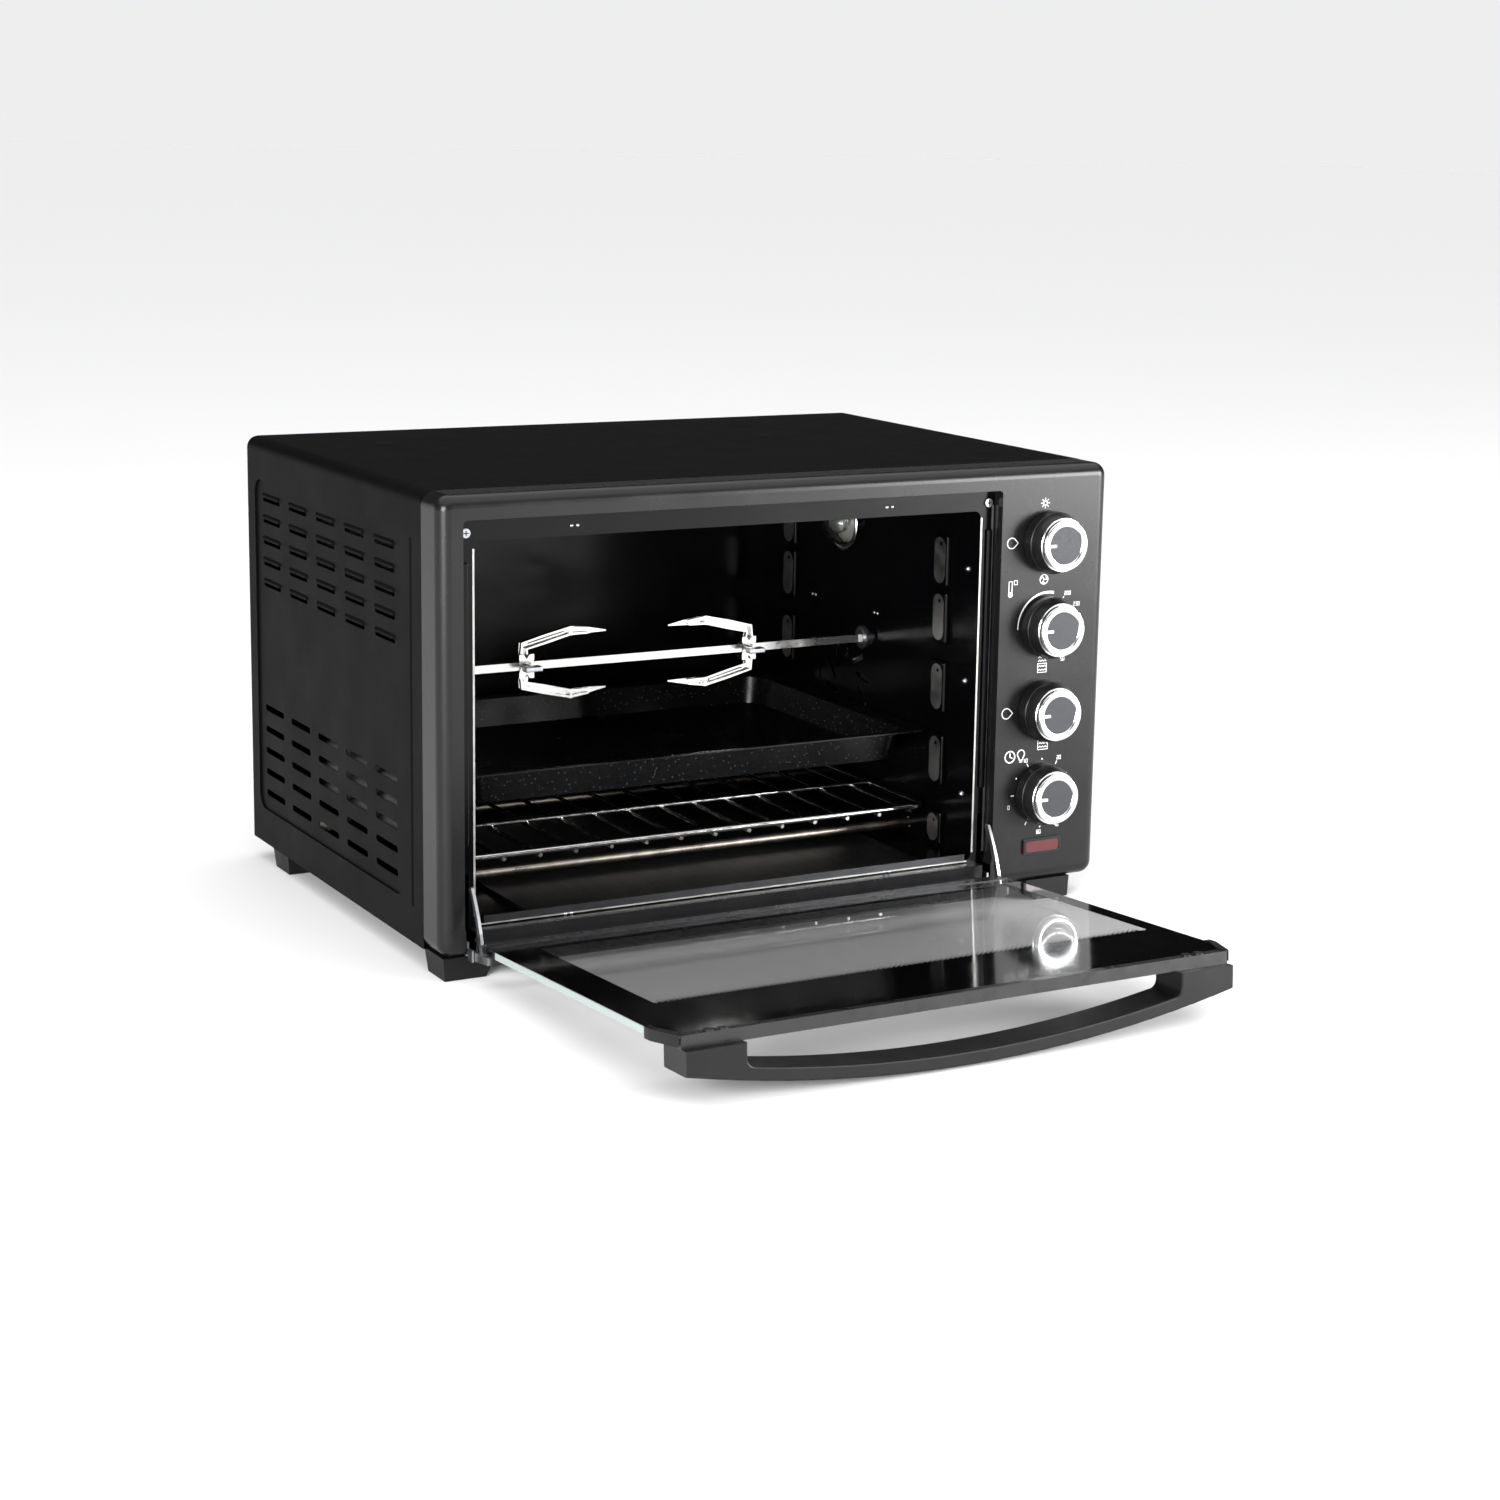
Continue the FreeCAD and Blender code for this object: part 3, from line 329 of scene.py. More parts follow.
def steatite():
    """Glazed steatite of the heater ends and lamp holder: off-white with a dull shine."""
    material, tree, shader, place = start("insulator_steatite", "#d6d0c0", 0.45, IOR=1.55)
    cloud = vary(tree, shader, place, "Roughness", 7, 0.38, 0.55)
    tint(tree, shader, cloud.outputs["Fac"], "#c9c2b0", "#ddd8ca")
    return material


def drawn_black_steel():
    """Black lacquered folded steel on the door's edges: satin with a fine coat texture."""
    material, tree, shader, place = start("door_channel_lacquered_steel", "#111112", 0.3, IOR=1.5)
    vary(tree, shader, place, "Roughness", 12, 0.25, 0.36)
    grain(tree, shader, place, 1.0, 0.006)
    return material


CASE = powder_coated_case()
FASCIA = satin_fascia()
ENAMEL = vitreous_enamel()
TRAY = tray_enamel()
WIRE = bright_nickel_wire()
FORK = stamped_nickel()
CHROME = polished_chrome()
HEATER = heater_steel()
ZINC = zinc_plate()
SUPPORT = support_plate()
ALUMINIUM = brushed_aluminium()
GLASS = toughened_glass()
GLASS_EDGE = ground_edge()
PRINT = glass_print()
HANDLE = textured_plastic("handle_moulded_black_pbt", "#0e0e0f", 0.32, 0.4, 0.9, 0.015, 0.25)
KNOB = textured_plastic("knob_moulded_black_abs", "#101011", 0.3, 0.4, 0.7, 0.01)
FOOT = textured_plastic("foot_moulded_black_pp", "#0a0a0a", 0.45, 0.55, 1.2, 0.03, 0.2)
SWITCH = textured_plastic("switch_moulded_cream_nylon", "#cfc6ab", 0.4, 0.5, 1.0, 0.01)
CAP = knob_cap()
INK = screen_ink()
RED = red_lens()
LAMP = lamp_glass()
CERAMIC = steatite()
CHANNEL = drawn_black_steel()

FINISHES = {
    CASE: ["outer_shell", "back_cover", "bottom_plate"],
    FASCIA: ["front_fascia"],
    ENAMEL: ["cavity_front_frame", "cavity_left_wall", "cavity_right_wall", "cavity_back_wall",
             "cavity_roof", "cavity_floor", "fan_cover"],
    TRAY: ["baking_tray"],
    WIRE: ["wire_rack", "spit_rod"],
    FORK: ["spit_fork_left", "spit_fork_right"],
    CHROME: [name + "_knob_ring" for name in CONTROLS],
    HEATER: ["upper_heaters", "lower_heaters"],
    ZINC: ["heat_shield", "hinge_bracket_left", "hinge_bracket_right", "spit_bearing", "spit_socket",
           "fan_wheel", "fan_motor", "spit_motor", "fork_screws", "case_screws", "hinge_pins",
           "hinge_arm_left", "hinge_arm_right"],
    ALUMINIUM: ["crumb_tray"],
    GLASS: ["door_glass"],
    HANDLE: ["door_handle"],
    KNOB: [name + "_knob" for name in CONTROLS],
    FOOT: ["foot_front_left", "foot_front_right", "foot_rear_left", "foot_rear_right", "mains_inlet"],
    SWITCH: [name + "_unit" for name in CONTROLS],
    RED: ["indicator_lens"],
    LAMP: ["lamp_lens", "lamp_bulb"],
    CERAMIC: ["heater_insulators", "lamp_holder"],
    CHANNEL: ["door_bottom_rail", "door_top_trim", "handle_screws"],
}
for material, names in FINISHES.items():
    for name in names:
        for part_slot in NODES[name].material_slots:
            part_slot.material = material

# ---------------------------------------------------------------- making pieces


def finish_piece(bm, name, body, material, smooth_under=40):
    """Turn a built shape into a piece that rides on a body of the oven."""
    bmesh.ops.remove_doubles(bm, verts=bm.verts, dist=1e-7)
    bmesh.ops.recalc_face_normals(bm, faces=bm.faces)
    mesh = bpy.data.meshes.new(name)
    bm.to_mesh(mesh)
    bm.free()
    mesh.materials.append(material)
    mesh.shade_smooth()
    mesh.set_sharp_from_angle(angle=math.radians(smooth_under))
    made = bpy.data.objects.new(name, mesh)
    bpy.context.scene.collection.objects.link(made)
    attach(made, body)
    return made


def slab(bm, points, depth):
    """A flat plate from its outline, thickened by a vector."""
    low = [bm.verts.new(p) for p in points]
    high = [bm.verts.new(p + depth) for p in points]
    bm.faces.new(low)
    bm.faces.new(list(reversed(high)))
    for i in range(len(points)):
        j = (i + 1) % len(points)
        bm.faces.new([low[i], low[j], high[j], high[i]])


def window_plate(bm, outer, inner, depth):
    """A flat plate with a hole; both outlines have the same number of points."""
    count = len(outer)
    loops = [[bm.verts.new(p + shift) for p in points]
             for points in (outer, inner) for shift in (Vector(), depth)]
    rim_low, rim_high, hole_low, hole_high = loops
    for i in range(count):
        j = (i + 1) % count
        for a, b in ((rim_low, hole_low), (hole_low, hole_high), (hole_high, rim_high), (rim_high, rim_low)):
            bm.faces.new([a[i], a[j], b[j], b[i]])


def turned(bm, profile, centre, axis, segments=48):
    """A lathe shape: (along, radius) in mm from a centre, about an axis; zero radii close its ends."""
    axis = axis.normalized()
    side = axis.orthogonal().normalized()
    other = axis.cross(side)
    rings = []
    turn = [2 * math.pi * i / segments for i in range(segments)]
    for along, radius in profile:
        middle = centre + axis * along * MM
        if radius == 0:
            rings.append([bm.verts.new(middle)])
            continue
        spokes = [(side * math.cos(t) + other * math.sin(t)) * radius * MM for t in turn]
        rings.append([bm.verts.new(middle + spoke) for spoke in spokes])
    for a, b in zip(rings, rings[1:]):
        for i in range(segments):
            j = (i + 1) % segments
            corners = [a[i % len(a)], a[j % len(a)], b[j % len(b)], b[i % len(b)]]
            unique = list(dict.fromkeys(corners))
            if len(unique) > 2:
                bm.faces.new(unique)


def strip(bm, points, widths, across, depth, closed=False):
    """A flat band through points, with a width in mm at each; across is the plane's normal."""
    count = len(points)
    corners = []
    for i, (point, width) in enumerate(zip(points, widths)):
        before = points[i - 1] if (i or closed) else point
        after = points[(i + 1) % count] if (i < count - 1 or closed) else point
        along = ((point - before).normalized() + (after - point).normalized()).normalized()
        out = along.cross(across).normalized() * width / 2 * MM
        section = (point + out, point - out, point - out + depth, point + out + depth)
        corners.append([bm.verts.new(p) for p in section])
    for i in range(count if closed else count - 1):
        a, b = corners[i], corners[(i + 1) % count]
        for k in range(4):
            bm.faces.new([a[k], a[(k + 1) % 4], b[(k + 1) % 4], b[k]])
    if not closed:
        bm.faces.new(corners[0])
        bm.faces.new(list(reversed(corners[-1])))


def rivet(bm, centre, axis, radius, tall):
    """A low domed rivet head."""
    dome = [(0, 0), (0, radius), (tall * 0.5, radius * 0.88), (tall * 0.85, radius * 0.5), (tall, 0)]
    turned(bm, dome, centre, axis, 16)


def disc_points(x, z, radius, count=12):
    """Points of a small circle as (across, up) pairs."""
    turn = [2 * math.pi * i / count for i in range(count)]
    return [(x + radius * math.cos(t), z + radius * math.sin(t)) for t in turn]


def cut_corners(half_wide, half_tall, cut):
    """A rectangle with cut corners as (across, up) pairs about its middle."""
    w, h = half_wide, half_tall
    return [(-w + cut, -h), (w - cut, -h), (w, -h + cut), (w, h - cut),
            (w - cut, h), (-w + cut, h), (-w, h - cut), (-w, -h + cut)]


# ---------------------------------------------------------------- door

WINDOW_LEFT, WINDOW_RIGHT, WINDOW_REAR, WINDOW_FRONT = -182.0, 199.0, 41.0, 220.0
# The ink lies on the glass's inner face, which is uppermost while the door is down
PRINT_FACE = 10.72
PRINT_THICK = 0.12
DOT_PITCH = 4.0
DOT_COLUMNS = 93
GLASS_SIDE = 212.52


def door_points(outline, inward):
    """Places on the door from (across, up) pairs measured from the cavity's middle."""
    return [on_door(CAVITY_X + x, up, inward) for x, up in outline]


bm = bmesh.new()
window_plate(
    bm,
    door_points([(-210.5, 40.1), (210.5, 40.1), (212, 40.6), (212, 275.5), (206.4, 294.8),
                 (-206.4, 294.8), (-212, 275.5), (-212, 40.6)], PRINT_FACE),
    door_points([(WINDOW_LEFT + 1.5, WINDOW_REAR), (WINDOW_RIGHT - 1.5, WINDOW_REAR),
                 (WINDOW_RIGHT, WINDOW_REAR + 1.5), (WINDOW_RIGHT, WINDOW_FRONT - 1.5),
                 (WINDOW_RIGHT - 1.5, WINDOW_FRONT), (WINDOW_LEFT + 1.5, WINDOW_FRONT),
                 (WINDOW_LEFT, WINDOW_FRONT - 1.5), (WINDOW_LEFT, WINDOW_REAR + 1.5)], PRINT_FACE),
    DOOR_IN * PRINT_THICK * MM)
finish_piece(bm, "door_print_border", "door", PRINT)

# The border breaks up into teeth and shrinking dots towards the window
bm = bmesh.new()
for i in range(DOT_COLUMNS):
    x = WINDOW_LEFT + 4 + DOT_PITCH * i
    marks = [[(x - 1.5, WINDOW_FRONT - 0.05), (x + 1.5, WINDOW_FRONT - 0.05), (x, WINDOW_FRONT - 3.6)],
             disc_points(x + DOT_PITCH / 2, WINDOW_FRONT - 2.6, 0.85, 8),
             disc_points(x, WINDOW_FRONT - 5.0, 0.62, 8),
             disc_points(x + DOT_PITCH / 2, WINDOW_FRONT - 7.0, 0.42, 8)]
    for mark in marks:
        slab(bm, door_points(mark, PRINT_FACE), DOOR_IN * PRINT_THICK * MM)
finish_piece(bm, "door_print_dots", "door", PRINT)

bm = bmesh.new()
for side in (-1, 1):
    rim = [(side * x, up) for x, up in
           ((GLASS_SIDE, 40.2), (GLASS_SIDE, 269.8), (GLASS_SIDE + 0.2, 269.8), (GLASS_SIDE + 0.2, 40.2))]
    slab(bm, door_points(rim, 5.8), DOOR_IN * 4.8 * MM)
finish_piece(bm, "door_glass_edges", "door", GLASS_EDGE)

# Moulded caps over the glass's chamfered corners beside the handle
CAP_LID = [(203.2, 301.6), (206.2, 301.6), (214.2, 277.5), (214.2, 270),
           (209.5, 270), (209.5, 276), (203.2, 293)]
CAP_EDGE = [(205.6, 300.4), (206.2, 301.6), (214.2, 277.5), (214.2, 270), (213, 270), (213, 277)]
for side, name in ((-1, "left"), (1, "right")):
    bm = bmesh.new()
    slab(bm, door_points([(side * x, up) for x, up in CAP_LID], 10.9), DOOR_IN * 1.0 * MM)
    slab(bm, door_points([(side * x, up) for x, up in CAP_EDGE], 4.4), DOOR_IN * 6.38 * MM)
    finish_piece(bm, "door_corner_cap_" + name, "door", HANDLE)

# ---------------------------------------------------------------- knobs and panel print

# Lathe profiles as (along, radius) pairs in mm out from the fascia: two chrome rings, the grip's
# sloping collar and the disc in its end
KNOB_SEGMENTS = 96
BEZEL_BACK = [(17.6, 19.1), (17.6, 20.0), (18.0, 20.4), (19.3, 20.4),
              (19.7, 20.0), (19.7, 19.1), (17.6, 19.1)]
BEZEL_FRONT = [(20.9, 18.2), (20.9, 19.0), (21.3, 19.3), (21.9, 19.3), (22.4, 19.0), (22.7, 18.3),
               (22.8, 17.4), (22.8, 15.4), (22.5, 14.6), (22.0, 14.1), (20.95, 14.1), (20.9, 18.2)]
COLLAR = [(8.9, 19.1), (8.9, 23.0), (11.0, 22.7), (14.5, 21.6),
          (17.5, 20.2), (17.5, 19.1), (8.9, 19.1)]
CAP_DISC = [(20.85, 0), (20.85, 14.05), (21.95, 14.05), (22.0, 13.95), (22.0, 0)]
POINTER = [(-14.6, -1.1), (-9.2, -1.1), (-8.6, -0.6), (-8.6, 0.6), (-9.2, 1.1), (-14.6, 1.1)]


def knob_height(index):
    """Height of a knob's axis in mm."""
    return KNOB_TOP - KNOB_PITCH * index


for index, control in enumerate(CONTROLS):
    centre = at(PANEL_X, 0, knob_height(index))
    bm = bmesh.new()
    turned(bm, BEZEL_BACK, centre, OUT, KNOB_SEGMENTS)
    turned(bm, BEZEL_FRONT, centre, OUT, KNOB_SEGMENTS)
    bezel = finish_piece(bm, control + "_knob_bezel", control + "_control", CHROME)
    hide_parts(control + "_knob_ring")
    bm = bmesh.new()
    turned(bm, COLLAR, centre, OUT, KNOB_SEGMENTS)
    finish_piece(bm, control + "_knob_collar", control + "_control", KNOB)
    bm = bmesh.new()
    turned(bm, CAP_DISC, centre, OUT, KNOB_SEGMENTS)
    finish_piece(bm, control + "_knob_cap", control + "_control", CAP, 20)
    bm = bmesh.new()
    z = knob_height(index)
    slab(bm, [at(PANEL_X + x, -22.0, z + up) for x, up in POINTER], OUT * 0.5 * MM)
    finish_piece(bm, control + "_knob_pointer", control + "_control", INK)

INK_THICK = 0.12
INK_LINE = 0.75
INK_FACE = -0.02
# Strokes of plain figures, 2 wide and 4 tall
DIGITS = {
    "0": [[(0, 0), (0, 4), (2, 4), (2, 0), (0, 0)]],
    "1": [[(0.4, 3.2), (1.2, 4), (1.2, 0)]],
    "2": [[(0, 4), (2, 4), (2, 2), (0, 2), (0, 0), (2, 0)]],
    "3": [[(0, 4), (2, 4), (2, 0), (0, 0)], [(0.5, 2), (2, 2)]],
    "4": [[(0, 4), (0, 2), (2, 2)], [(2, 4), (2, 0)]],
    "5": [[(2, 4), (0, 4), (0, 2), (2, 2), (2, 0), (0, 0)]],
    "6": [[(2, 4), (0, 4), (0, 0), (2, 0), (2, 2), (0, 2)]],
}


def ink(bm, points, width=INK_LINE, closed=False):
    """A printed line on the panel through (across, up) pairs; width is one value or one for each point."""
    widths = width if isinstance(width, list) else [width] * len(points)
    places = [at(x, INK_FACE, z) for x, z in points]
    strip(bm, places, widths, OUT, OUT * INK_THICK * MM, closed)


def dot(bm, x, z, radius):
    """A printed dot on the panel."""
    slab(bm, [at(px, INK_FACE, pz) for px, pz in disc_points(x, z, radius)], OUT * INK_THICK * MM)


def arc(x, z, radius, start, end, count):
    """Points along an arc, in degrees from the right and upwards."""
    turn = [math.radians(start + (end - start) * i / (count - 1)) for i in range(count)]
    return [(x + radius * math.cos(t), z + radius * math.sin(t)) for t in turn]


def number(bm, text, x, z, tall):
    """Plain figures for a dial, about a middle point."""
    size = tall / 4
    start = x - (len(text) * 3 - 1) * size / 2
    for place, figure in enumerate(text):
        for line in DIGITS[figure]:
            points = [(start + (place * 3 + px) * size, z - tall / 2 + pz * size) for px, pz in line]
            ink(bm, points, 0.5)


def waves(bm, x, z):
    """Two short wavy lines for a heating element."""
    for row in (-1.4, 1.4):
        ink(bm, [(x - 3.6 + 1.2 * i, z + row + (0.6 if i % 2 else -0.6)) for i in range(7)], 0.6)


def spoke(z, radius, degrees):
    """A place round a knob's axis, as an (across, up) pair."""
    turn = math.radians(degrees)
    return PANEL_X + radius * math.cos(turn), z + radius * math.sin(turn)


def sun_icon(bm, x, z):
    """A ring with eight rays."""
    ink(bm, disc_points(x, z, 1.7), 0.7, True)
    for step in range(8):
        turn = math.radians(45 * step)
        ink(bm, [(x + r * math.cos(turn), z + r * math.sin(turn)) for r in (2.6, 4.0)], 0.6)


def fan_icon(bm, x, z):
    """Three blades in a ring."""
    ink(bm, disc_points(x, z, 3.6, 20), 0.6, True)
    for step in range(3):
        ink(bm, [(x, z)] + arc(x, z, 2.5, 120 * step, 120 * step + 50, 4), 0.7)


def drop_icon(bm, x, z):
    """A ring drawn out to a point towards the knob, for off."""
    ink(bm, arc(x, z, 4.0, 35, 325, 16) + [(x + 5.6, z)], 0.8, True)


def thermometer_icon(bm, x, z):
    """A tube over a bulb with a small square beside its top."""
    ink(bm, [(x - 1.4, z + 1), (x - 1.4, z + 10), (x + 1.4, z + 10), (x + 1.4, z + 1)], 0.6)
    dot(bm, x, z, 2.1)
    ink(bm, [(x + 3.2, z + 10.5), (x + 6, z + 10.5), (x + 6, z + 7.5), (x + 3.2, z + 7.5)], 0.6, True)


def oven_icon(bm, x, z, half_wide, half_tall):
    """A box with wavy lines in it."""
    low, high = z - half_tall, z + half_tall
    ink(bm, [(x - half_wide, high), (x + half_wide, high), (x + half_wide, low), (x - half_wide, low)],
        0.65, True)
    waves(bm, x, z)


def clock_icon(bm, x, z):
    """A ring with two hands."""
    ink(bm, disc_points(x, z, 4.4, 24), 0.9, True)
    ink(bm, [(x, z + 3), (x, z), (x + 2.3, z - 1.2)], 0.8)


def bulb_icon(bm, x, z):
    """A lamp bulb over its cap."""
    ink(bm, arc(x, z, 3.2, -50, 230, 14) + [(x - 1.3, z - 4.6), (x + 1.3, z - 4.6)], 0.8, True)
    ink(bm, [(x - 1.3, z - 6), (x + 1.3, z - 6)], 0.7)


def temperature_scale(bm, z):
    """A band that widens with the heat, and four figures with their ticks."""
    steps = 40
    ink(bm, arc(PANEL_X, z, 26.2, 182, 78, steps), [0.5 + 1.5 * i / (steps - 1) for i in range(steps)])
    for text, turn in (("200", 56), ("230", 32), ("100", -32), ("50", -62)):
        across, up = spoke(z, 29.5, turn)
        number(bm, text, across + 1.5, up, 2.7)
        ink(bm, [spoke(z, r, turn) for r in (24.6, 26.6)], 0.6)


def minute_scale(bm, z):
    """Ticks and dots by turns at every thirty degrees, with figures."""
    for step in range(11):
        turn = 180 - 30 * step
        if step % 2:
            dot(bm, *spoke(z, 26.6, turn), 0.65)
        else:
            ink(bm, [spoke(z, r, turn) for r in (24.8, 27.6)], 0.7)
    for text, turn in (("10", 120), ("20", 60), ("30", 0), ("40", -60), ("0", 197), ("60", -92)):
        number(bm, text, *spoke(z, 30.6, turn), 2.8)


bm = bmesh.new()
sun_icon(bm, 215, 307)
fan_icon(bm, 216, 249)
for z in (278, 148):
    drop_icon(bm, 186, z)
thermometer_icon(bm, 186, 239)
temperature_scale(bm, knob_height(1))
waves(bm, 217, 188)
oven_icon(bm, 217, 181, 4, 3.4)
oven_icon(bm, 220, 121, 4.4, 3.5)
clock_icon(bm, 190.5, 114)
bulb_icon(bm, 200.5, 115.4)
minute_scale(bm, knob_height(3))
finish_piece(bm, "panel_print", "oven", INK)

# ---------------------------------------------------------------- small fittings of the oven

# Bright folded edges of the front frame: two at the mouth, two outside them and one along its sill
EDGE_TALL = 0.35
bm = bmesh.new()
for x, low, high, width in ((-MOUTH_HALF - 0.9, 40, 297, 1.4), (MOUTH_HALF + 0.9, 40, 297, 1.4),
                            (MOUTH_HALF + 10.6, 40, 306, 1.6), (-MOUTH_HALF - 10.6, 40, 306, 1.2)):
    edge = ((-width / 2, low), (width / 2, low), (width / 2, high), (-width / 2, high))
    slab(bm, [at(CAVITY_X + x + dx, FLANGE_Y, z) for dx, z in edge], OUT * EDGE_TALL * MM)
sill = ((-200, 33.0), (200, 33.0), (200, 34.0), (-200, 34.0))
slab(bm, [at(CAVITY_X + dx, FLANGE_Y, z) for dx, z in sill], OUT * EDGE_TALL * MM)
finish_piece(bm, "mouth_worn_edges", "oven", SUPPORT)

bm = bmesh.new()
for x, z in ((-168, 309), (85, 309), (-172, 33.2), (90, 33.2)):
    for shift in (-2.3, 2.3):
        rivet(bm, at(x + shift, FLANGE_Y, z), OUT, 1.3, 1.0)
finish_piece(bm, "flange_rivets", "oven", ZINC)

# Large rivets one above another by the mouth, and small ones in pairs between the rack supports
bm = bmesh.new()
for side in (-1, 1):
    wall = CAVITY_X + side * (CAVITY_HALF - 0.05)
    for z in (82, 170, 256):
        rivet(bm, at(wall, 28, z), RIGHT * -side, 2.6, 2.4)
    for y, z in ((161, 201), (161, 61), (260, 201), (260, 61)):
        for shift in (-2.5, 2.5):
            rivet(bm, at(wall, y + shift, z), RIGHT * -side, 1.5, 1.2)
finish_piece(bm, "wall_rivets", "oven", ZINC)

HINGE_FACE = 207.0
bm = bmesh.new()
for side in (-1, 1):
    x = CAVITY_X + side * HINGE_FACE
    for lift, back in ((-3.2, 2.0), (5.0, 2.6)):
        rivet(bm, at(x, back, 20 + lift), RIGHT * -side, 1.7, 1.0)
finish_piece(bm, "hinge_rivets", "oven", ZINC)

# Cross recesses of the two screws in the front frame and the eight in the back cover, drawn as flat
# near-black crosses on the plated heads: painted shade standing in for the hollow of each recess
CROSS = [(-0.4, 0.4), (-0.4, 1.9), (0.4, 1.9), (0.4, 0.4), (1.9, 0.4), (1.9, -0.4),
         (0.4, -0.4), (0.4, -1.9), (-0.4, -1.9), (-0.4, -0.4), (-1.9, -0.4), (-1.9, 0.4)]
CROSS_THICK = 0.05
bm = bmesh.new()
for side in (-1, 1):
    slab(bm, [at(CAVITY_X + side * 210 + x, 9.62, 308 + z) for x, z in CROSS], OUT * CROSS_THICK * MM)
for x in (-250, -90, 90, 250):
    for z in (28, 314):
        slab(bm, [at(x + dx, BACK_SCREW_Y, z + dz) for dx, dz in CROSS], OUT * -CROSS_THICK * MM)
finish_piece(bm, "screw_cross_painted_shade", "oven", CASE)

LAMP_RIM = [(1.55, 18.4), (1.55, 21.9), (2.3, 22.3), (3.0, 21.7), (3.1, 19.4), (2.6, 18.4), (1.55, 18.4)]
bm = bmesh.new()
turned(bm, LAMP_RIM, at(CAVITY_X + CAVITY_HALF, LAMP_Y, LAMP_Z), -RIGHT, 64)
finish_piece(bm, "lamp_rim", "oven", CHROME)

# Bright faces of the rack supports, each with a small notch near its top
SUPPORT_FACE = 4.03
SUPPORT_TALL = 40
LOWEST_SUPPORT = 36
faces, notches = bmesh.new(), bmesh.new()
for side in (-1, 1):
    x = CAVITY_X + side * (CAVITY_HALF - SUPPORT_FACE)
    for y in SUPPORT_COLUMNS:
        for top in SUPPORT_TOPS:
            low = max(top - SUPPORT_TALL, LOWEST_SUPPORT) + 2.2
            high = top - 2.2
            outline = []
            for z, begin in ((high - 7, 0), (low + 7, 180)):
                turns = [math.radians(begin + 180 * step / 8) for step in range(9)]
                outline += [at(x, y + 7.4 * math.cos(turn), z + 7 * math.sin(turn)) for turn in turns]
            slab(faces, outline, RIGHT * -side * 0.2 * MM)
            hole = [at(x - side * 0.22, py, pz) for py, pz in disc_points(y - 1.5, high - 5, 1.6, 10)]
            slab(notches, hole, RIGHT * -side * 0.1 * MM)
finish_piece(faces, "rack_support_faces", "oven", SUPPORT)
finish_piece(notches, "rack_support_notches", "oven", ENAMEL)

bm = bmesh.new()
lens_outer, lens_inner = (
    [at(LENS_X + x, -1.62, LENS_Z + z) for x, z in cut_corners(half_wide, half_tall, 1.5)]
    for half_wide, half_tall in ((17.2, 6.2), (15.0, 4.2)))
window_plate(bm, lens_outer, lens_inner, OUT * 0.3 * MM)
finish_piece(bm, "indicator_rim", "oven", HANDLE)

# ---------------------------------------------------------------- spit forks

# One tine as (along, out) pairs in mm from the fork's hub, with the sheet's width at each
TINE = [(-1.0, 5.5), (-1.0, 15.0), (16.0, 19.2), (37.0, 24.2), (52.0, 23.2), (68.0, 21.8)]
TINE_WIDTHS = [7.4, 7.4, 7.2, 6.6, 4.6, 0.9]
TINE_RIB = [(3.5, 16.2), (16.0, 19.2), (33.0, 23.2)]
TINE_BARB = [(37.2, 27.6), (37.2, 20.8)]
HUB = [(-6, 9), (-2.6, 9), (0, 5.5), (2.6, 9), (6, 9), (6, 5), (4.4, 0), (6, -5), (6, -9),
       (2.6, -9), (0, -5.5), (-2.6, -9), (-6, -9), (-6, -5), (-4.4, 0), (-6, 5)]
FORKS = (("left", -95.0, 1), ("right", 94.0, -1))


def fork_line(hub, facing, line, back):
    """Places on a fork from (along, out) pairs: along the spit from its hub and away from the spit."""
    return [at(hub + facing * u, SPIT_Y + back, SPIT_Z + v) for u, v in line]


def offset_line(line, sideways):
    """The same line moved sideways in its plane by a value for each point."""
    moved = []
    for i, ((u, v), shift) in enumerate(zip(line, sideways)):
        u0, v0 = line[max(i - 1, 0)]
        u1, v1 = line[min(i + 1, len(line) - 1)]
        long = math.hypot(u1 - u0, v1 - v0)
        moved.append((u - (v1 - v0) / long * shift, v + (u1 - u0) / long * shift))
    return moved


for name, place, facing in FORKS:
    hub = CAVITY_X + place
    bm = bmesh.new()
    slab(bm, fork_line(hub, facing, HUB, 4.6), OUT * 9.2 * MM)
    for mirror in (1, -1):
        flat, rib, barb = ([(u, mirror * v) for u, v in line] for line in (TINE, TINE_RIB, TINE_BARB))
        strip(bm, fork_line(hub, facing, flat, 2.2), TINE_WIDTHS, OUT, OUT * 1.2 * MM)
        for edge in (-1, 1):
            shifts = [edge * (width / 2 - 0.75) for width in TINE_WIDTHS[:5]]
            turned_up = [(u, mirror * v) for u, v in offset_line(TINE[:5], shifts)]
            strip(bm, fork_line(hub, facing, turned_up, 1.0), [1.5] * 4 + [1.1], OUT, OUT * 3.6 * MM)
        strip(bm, fork_line(hub, facing, rib, 1.0), [0.9] * 3, OUT, OUT * 2.6 * MM)
        strip(bm, fork_line(hub, facing, barb, 1.0), [2.4] * 2, OUT, OUT * 3.8 * MM)
    fork = finish_piece(bm, "spit_fork_%s_pressed" % name, "spit", FORK, 30)
    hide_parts("spit_fork_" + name)

# ---------------------------------------------------------------- floor, light and camera

FLOOR_RADIUS = 40
floor_mesh = bpy.data.meshes.new("floor")
floor_bm = bmesh.new()
bmesh.ops.create_circle(floor_bm, cap_ends=True, radius=FLOOR_RADIUS, segments=96)
floor_bm.to_mesh(floor_mesh)
floor_bm.free()
floor = bpy.data.objects.new("floor", floor_mesh)
floor_material, floor_tree, floor_shader, floor_place = start("floor_matt_paper", "#ededed", 0.9)
vary(floor_tree, floor_shader, floor_place, "Roughness", 300, 0.85, 0.95)
floor_mesh.materials.append(floor_material)
bpy.context.scene.collection.objects.link(floor)
floor.location.z = -0.0002

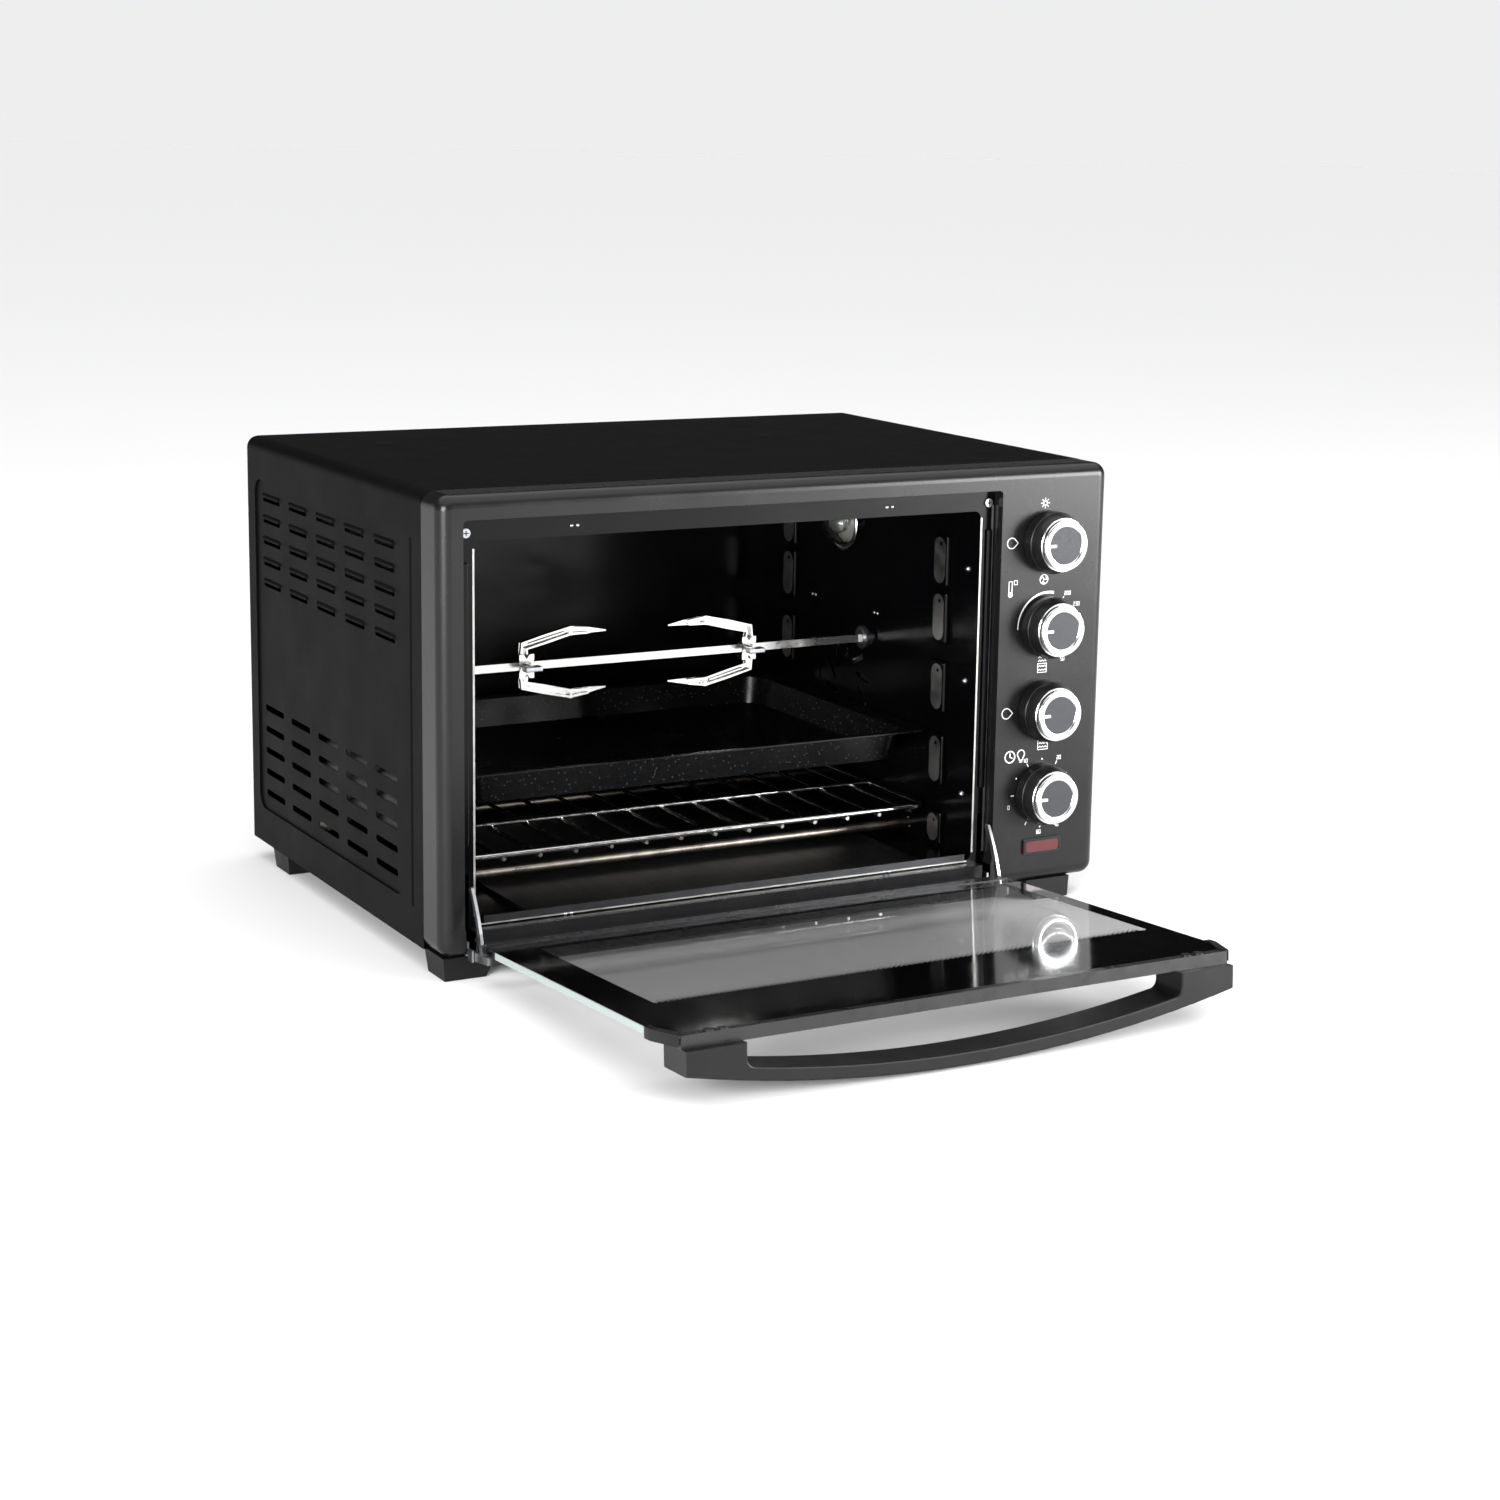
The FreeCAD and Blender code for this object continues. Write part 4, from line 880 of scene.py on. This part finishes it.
# A white horizon, a dark studio above it and a wide soft light overhead, by the height of the view
world = bpy.data.worlds.new("studio")
world.use_nodes = True
world_tree = world.node_tree
sky = add(world_tree, "ShaderNodeTexCoord", {}, {}).outputs["Generated"]
height = add(world_tree, "ShaderNodeSeparateXYZ", {}, {"Vector": sky}).outputs["Z"]
horizon = add(world_tree, "ShaderNodeMapRange", {}, {
    "Value": height, "From Min": 0.045, "From Max": 0.085, "To Min": 0.88, "To Max": 0.01})
overhead = add(world_tree, "ShaderNodeMapRange", {}, {
    "Value": height, "From Min": 0.55, "From Max": 0.75, "To Min": 0.0, "To Max": 1.85})
both = add(world_tree, "ShaderNodeMath", {"operation": "ADD"}, {
    0: horizon.outputs["Result"], 1: overhead.outputs["Result"]})
background = world_tree.nodes["Background"]
background.inputs["Color"].default_value = linear("#fcfcfd")
world_tree.links.new(both.outputs["Value"], background.inputs["Strength"])
bpy.context.scene.world = world


def softbox(name, place, target, width, height, power):
    """A rectangular studio light that faces a point."""
    data = bpy.data.lights.new(name, "AREA")
    data.shape = "RECTANGLE"
    data.size = width
    data.size_y = height
    data.energy = power
    light = bpy.data.objects.new(name, data)
    light.location = place
    light.rotation_mode = "QUATERNION"
    light.rotation_quaternion = (Vector(target) - Vector(place)).to_track_quat("-Z", "Y")
    bpy.context.scene.collection.objects.link(light)


# Two large softboxes stand in front of the oven, one on each side
softbox("right_softbox", (2.3, -2.15, 0.68), (0.2, -0.1, 0.2), 1.5, 1.25, 210)
softbox("left_softbox", (-2.3, -1.8, 0.75), (-0.2, -0.1, 0.2), 1.5, 1.3, 150)

# The camera stands left of the oven and looks slightly down at it
camera_data = bpy.data.cameras.new("camera")
camera = bpy.data.objects.new("camera", camera_data)
bpy.context.scene.collection.objects.link(camera)
camera_data.sensor_width = 36.0
camera_data.lens = 69.13
camera_data.shift_x = -0.0441
camera_data.shift_y = -0.0451
camera_data.clip_start = 0.05
camera_data.clip_end = 100.0
camera.location = at(-1001.49, -1775.05, 589.75)
camera.rotation_mode = "QUATERNION"
azimuth, elevation, roll = (math.radians(v) for v in (29.913, 11.161, 1.128))
forward = Vector((math.sin(azimuth) * math.cos(elevation), math.cos(azimuth) * math.cos(elevation),
                  -math.sin(elevation)))
level = Vector((math.cos(azimuth), -math.sin(azimuth), 0))
above = level.cross(forward)
right = level * math.cos(roll) + above * math.sin(roll)
above = above * math.cos(roll) - level * math.sin(roll)
camera.rotation_quaternion = Matrix((right, above, -forward)).transposed().to_quaternion()
bpy.context.scene.camera = camera
bpy.context.scene.view_settings.view_transform = "Standard"
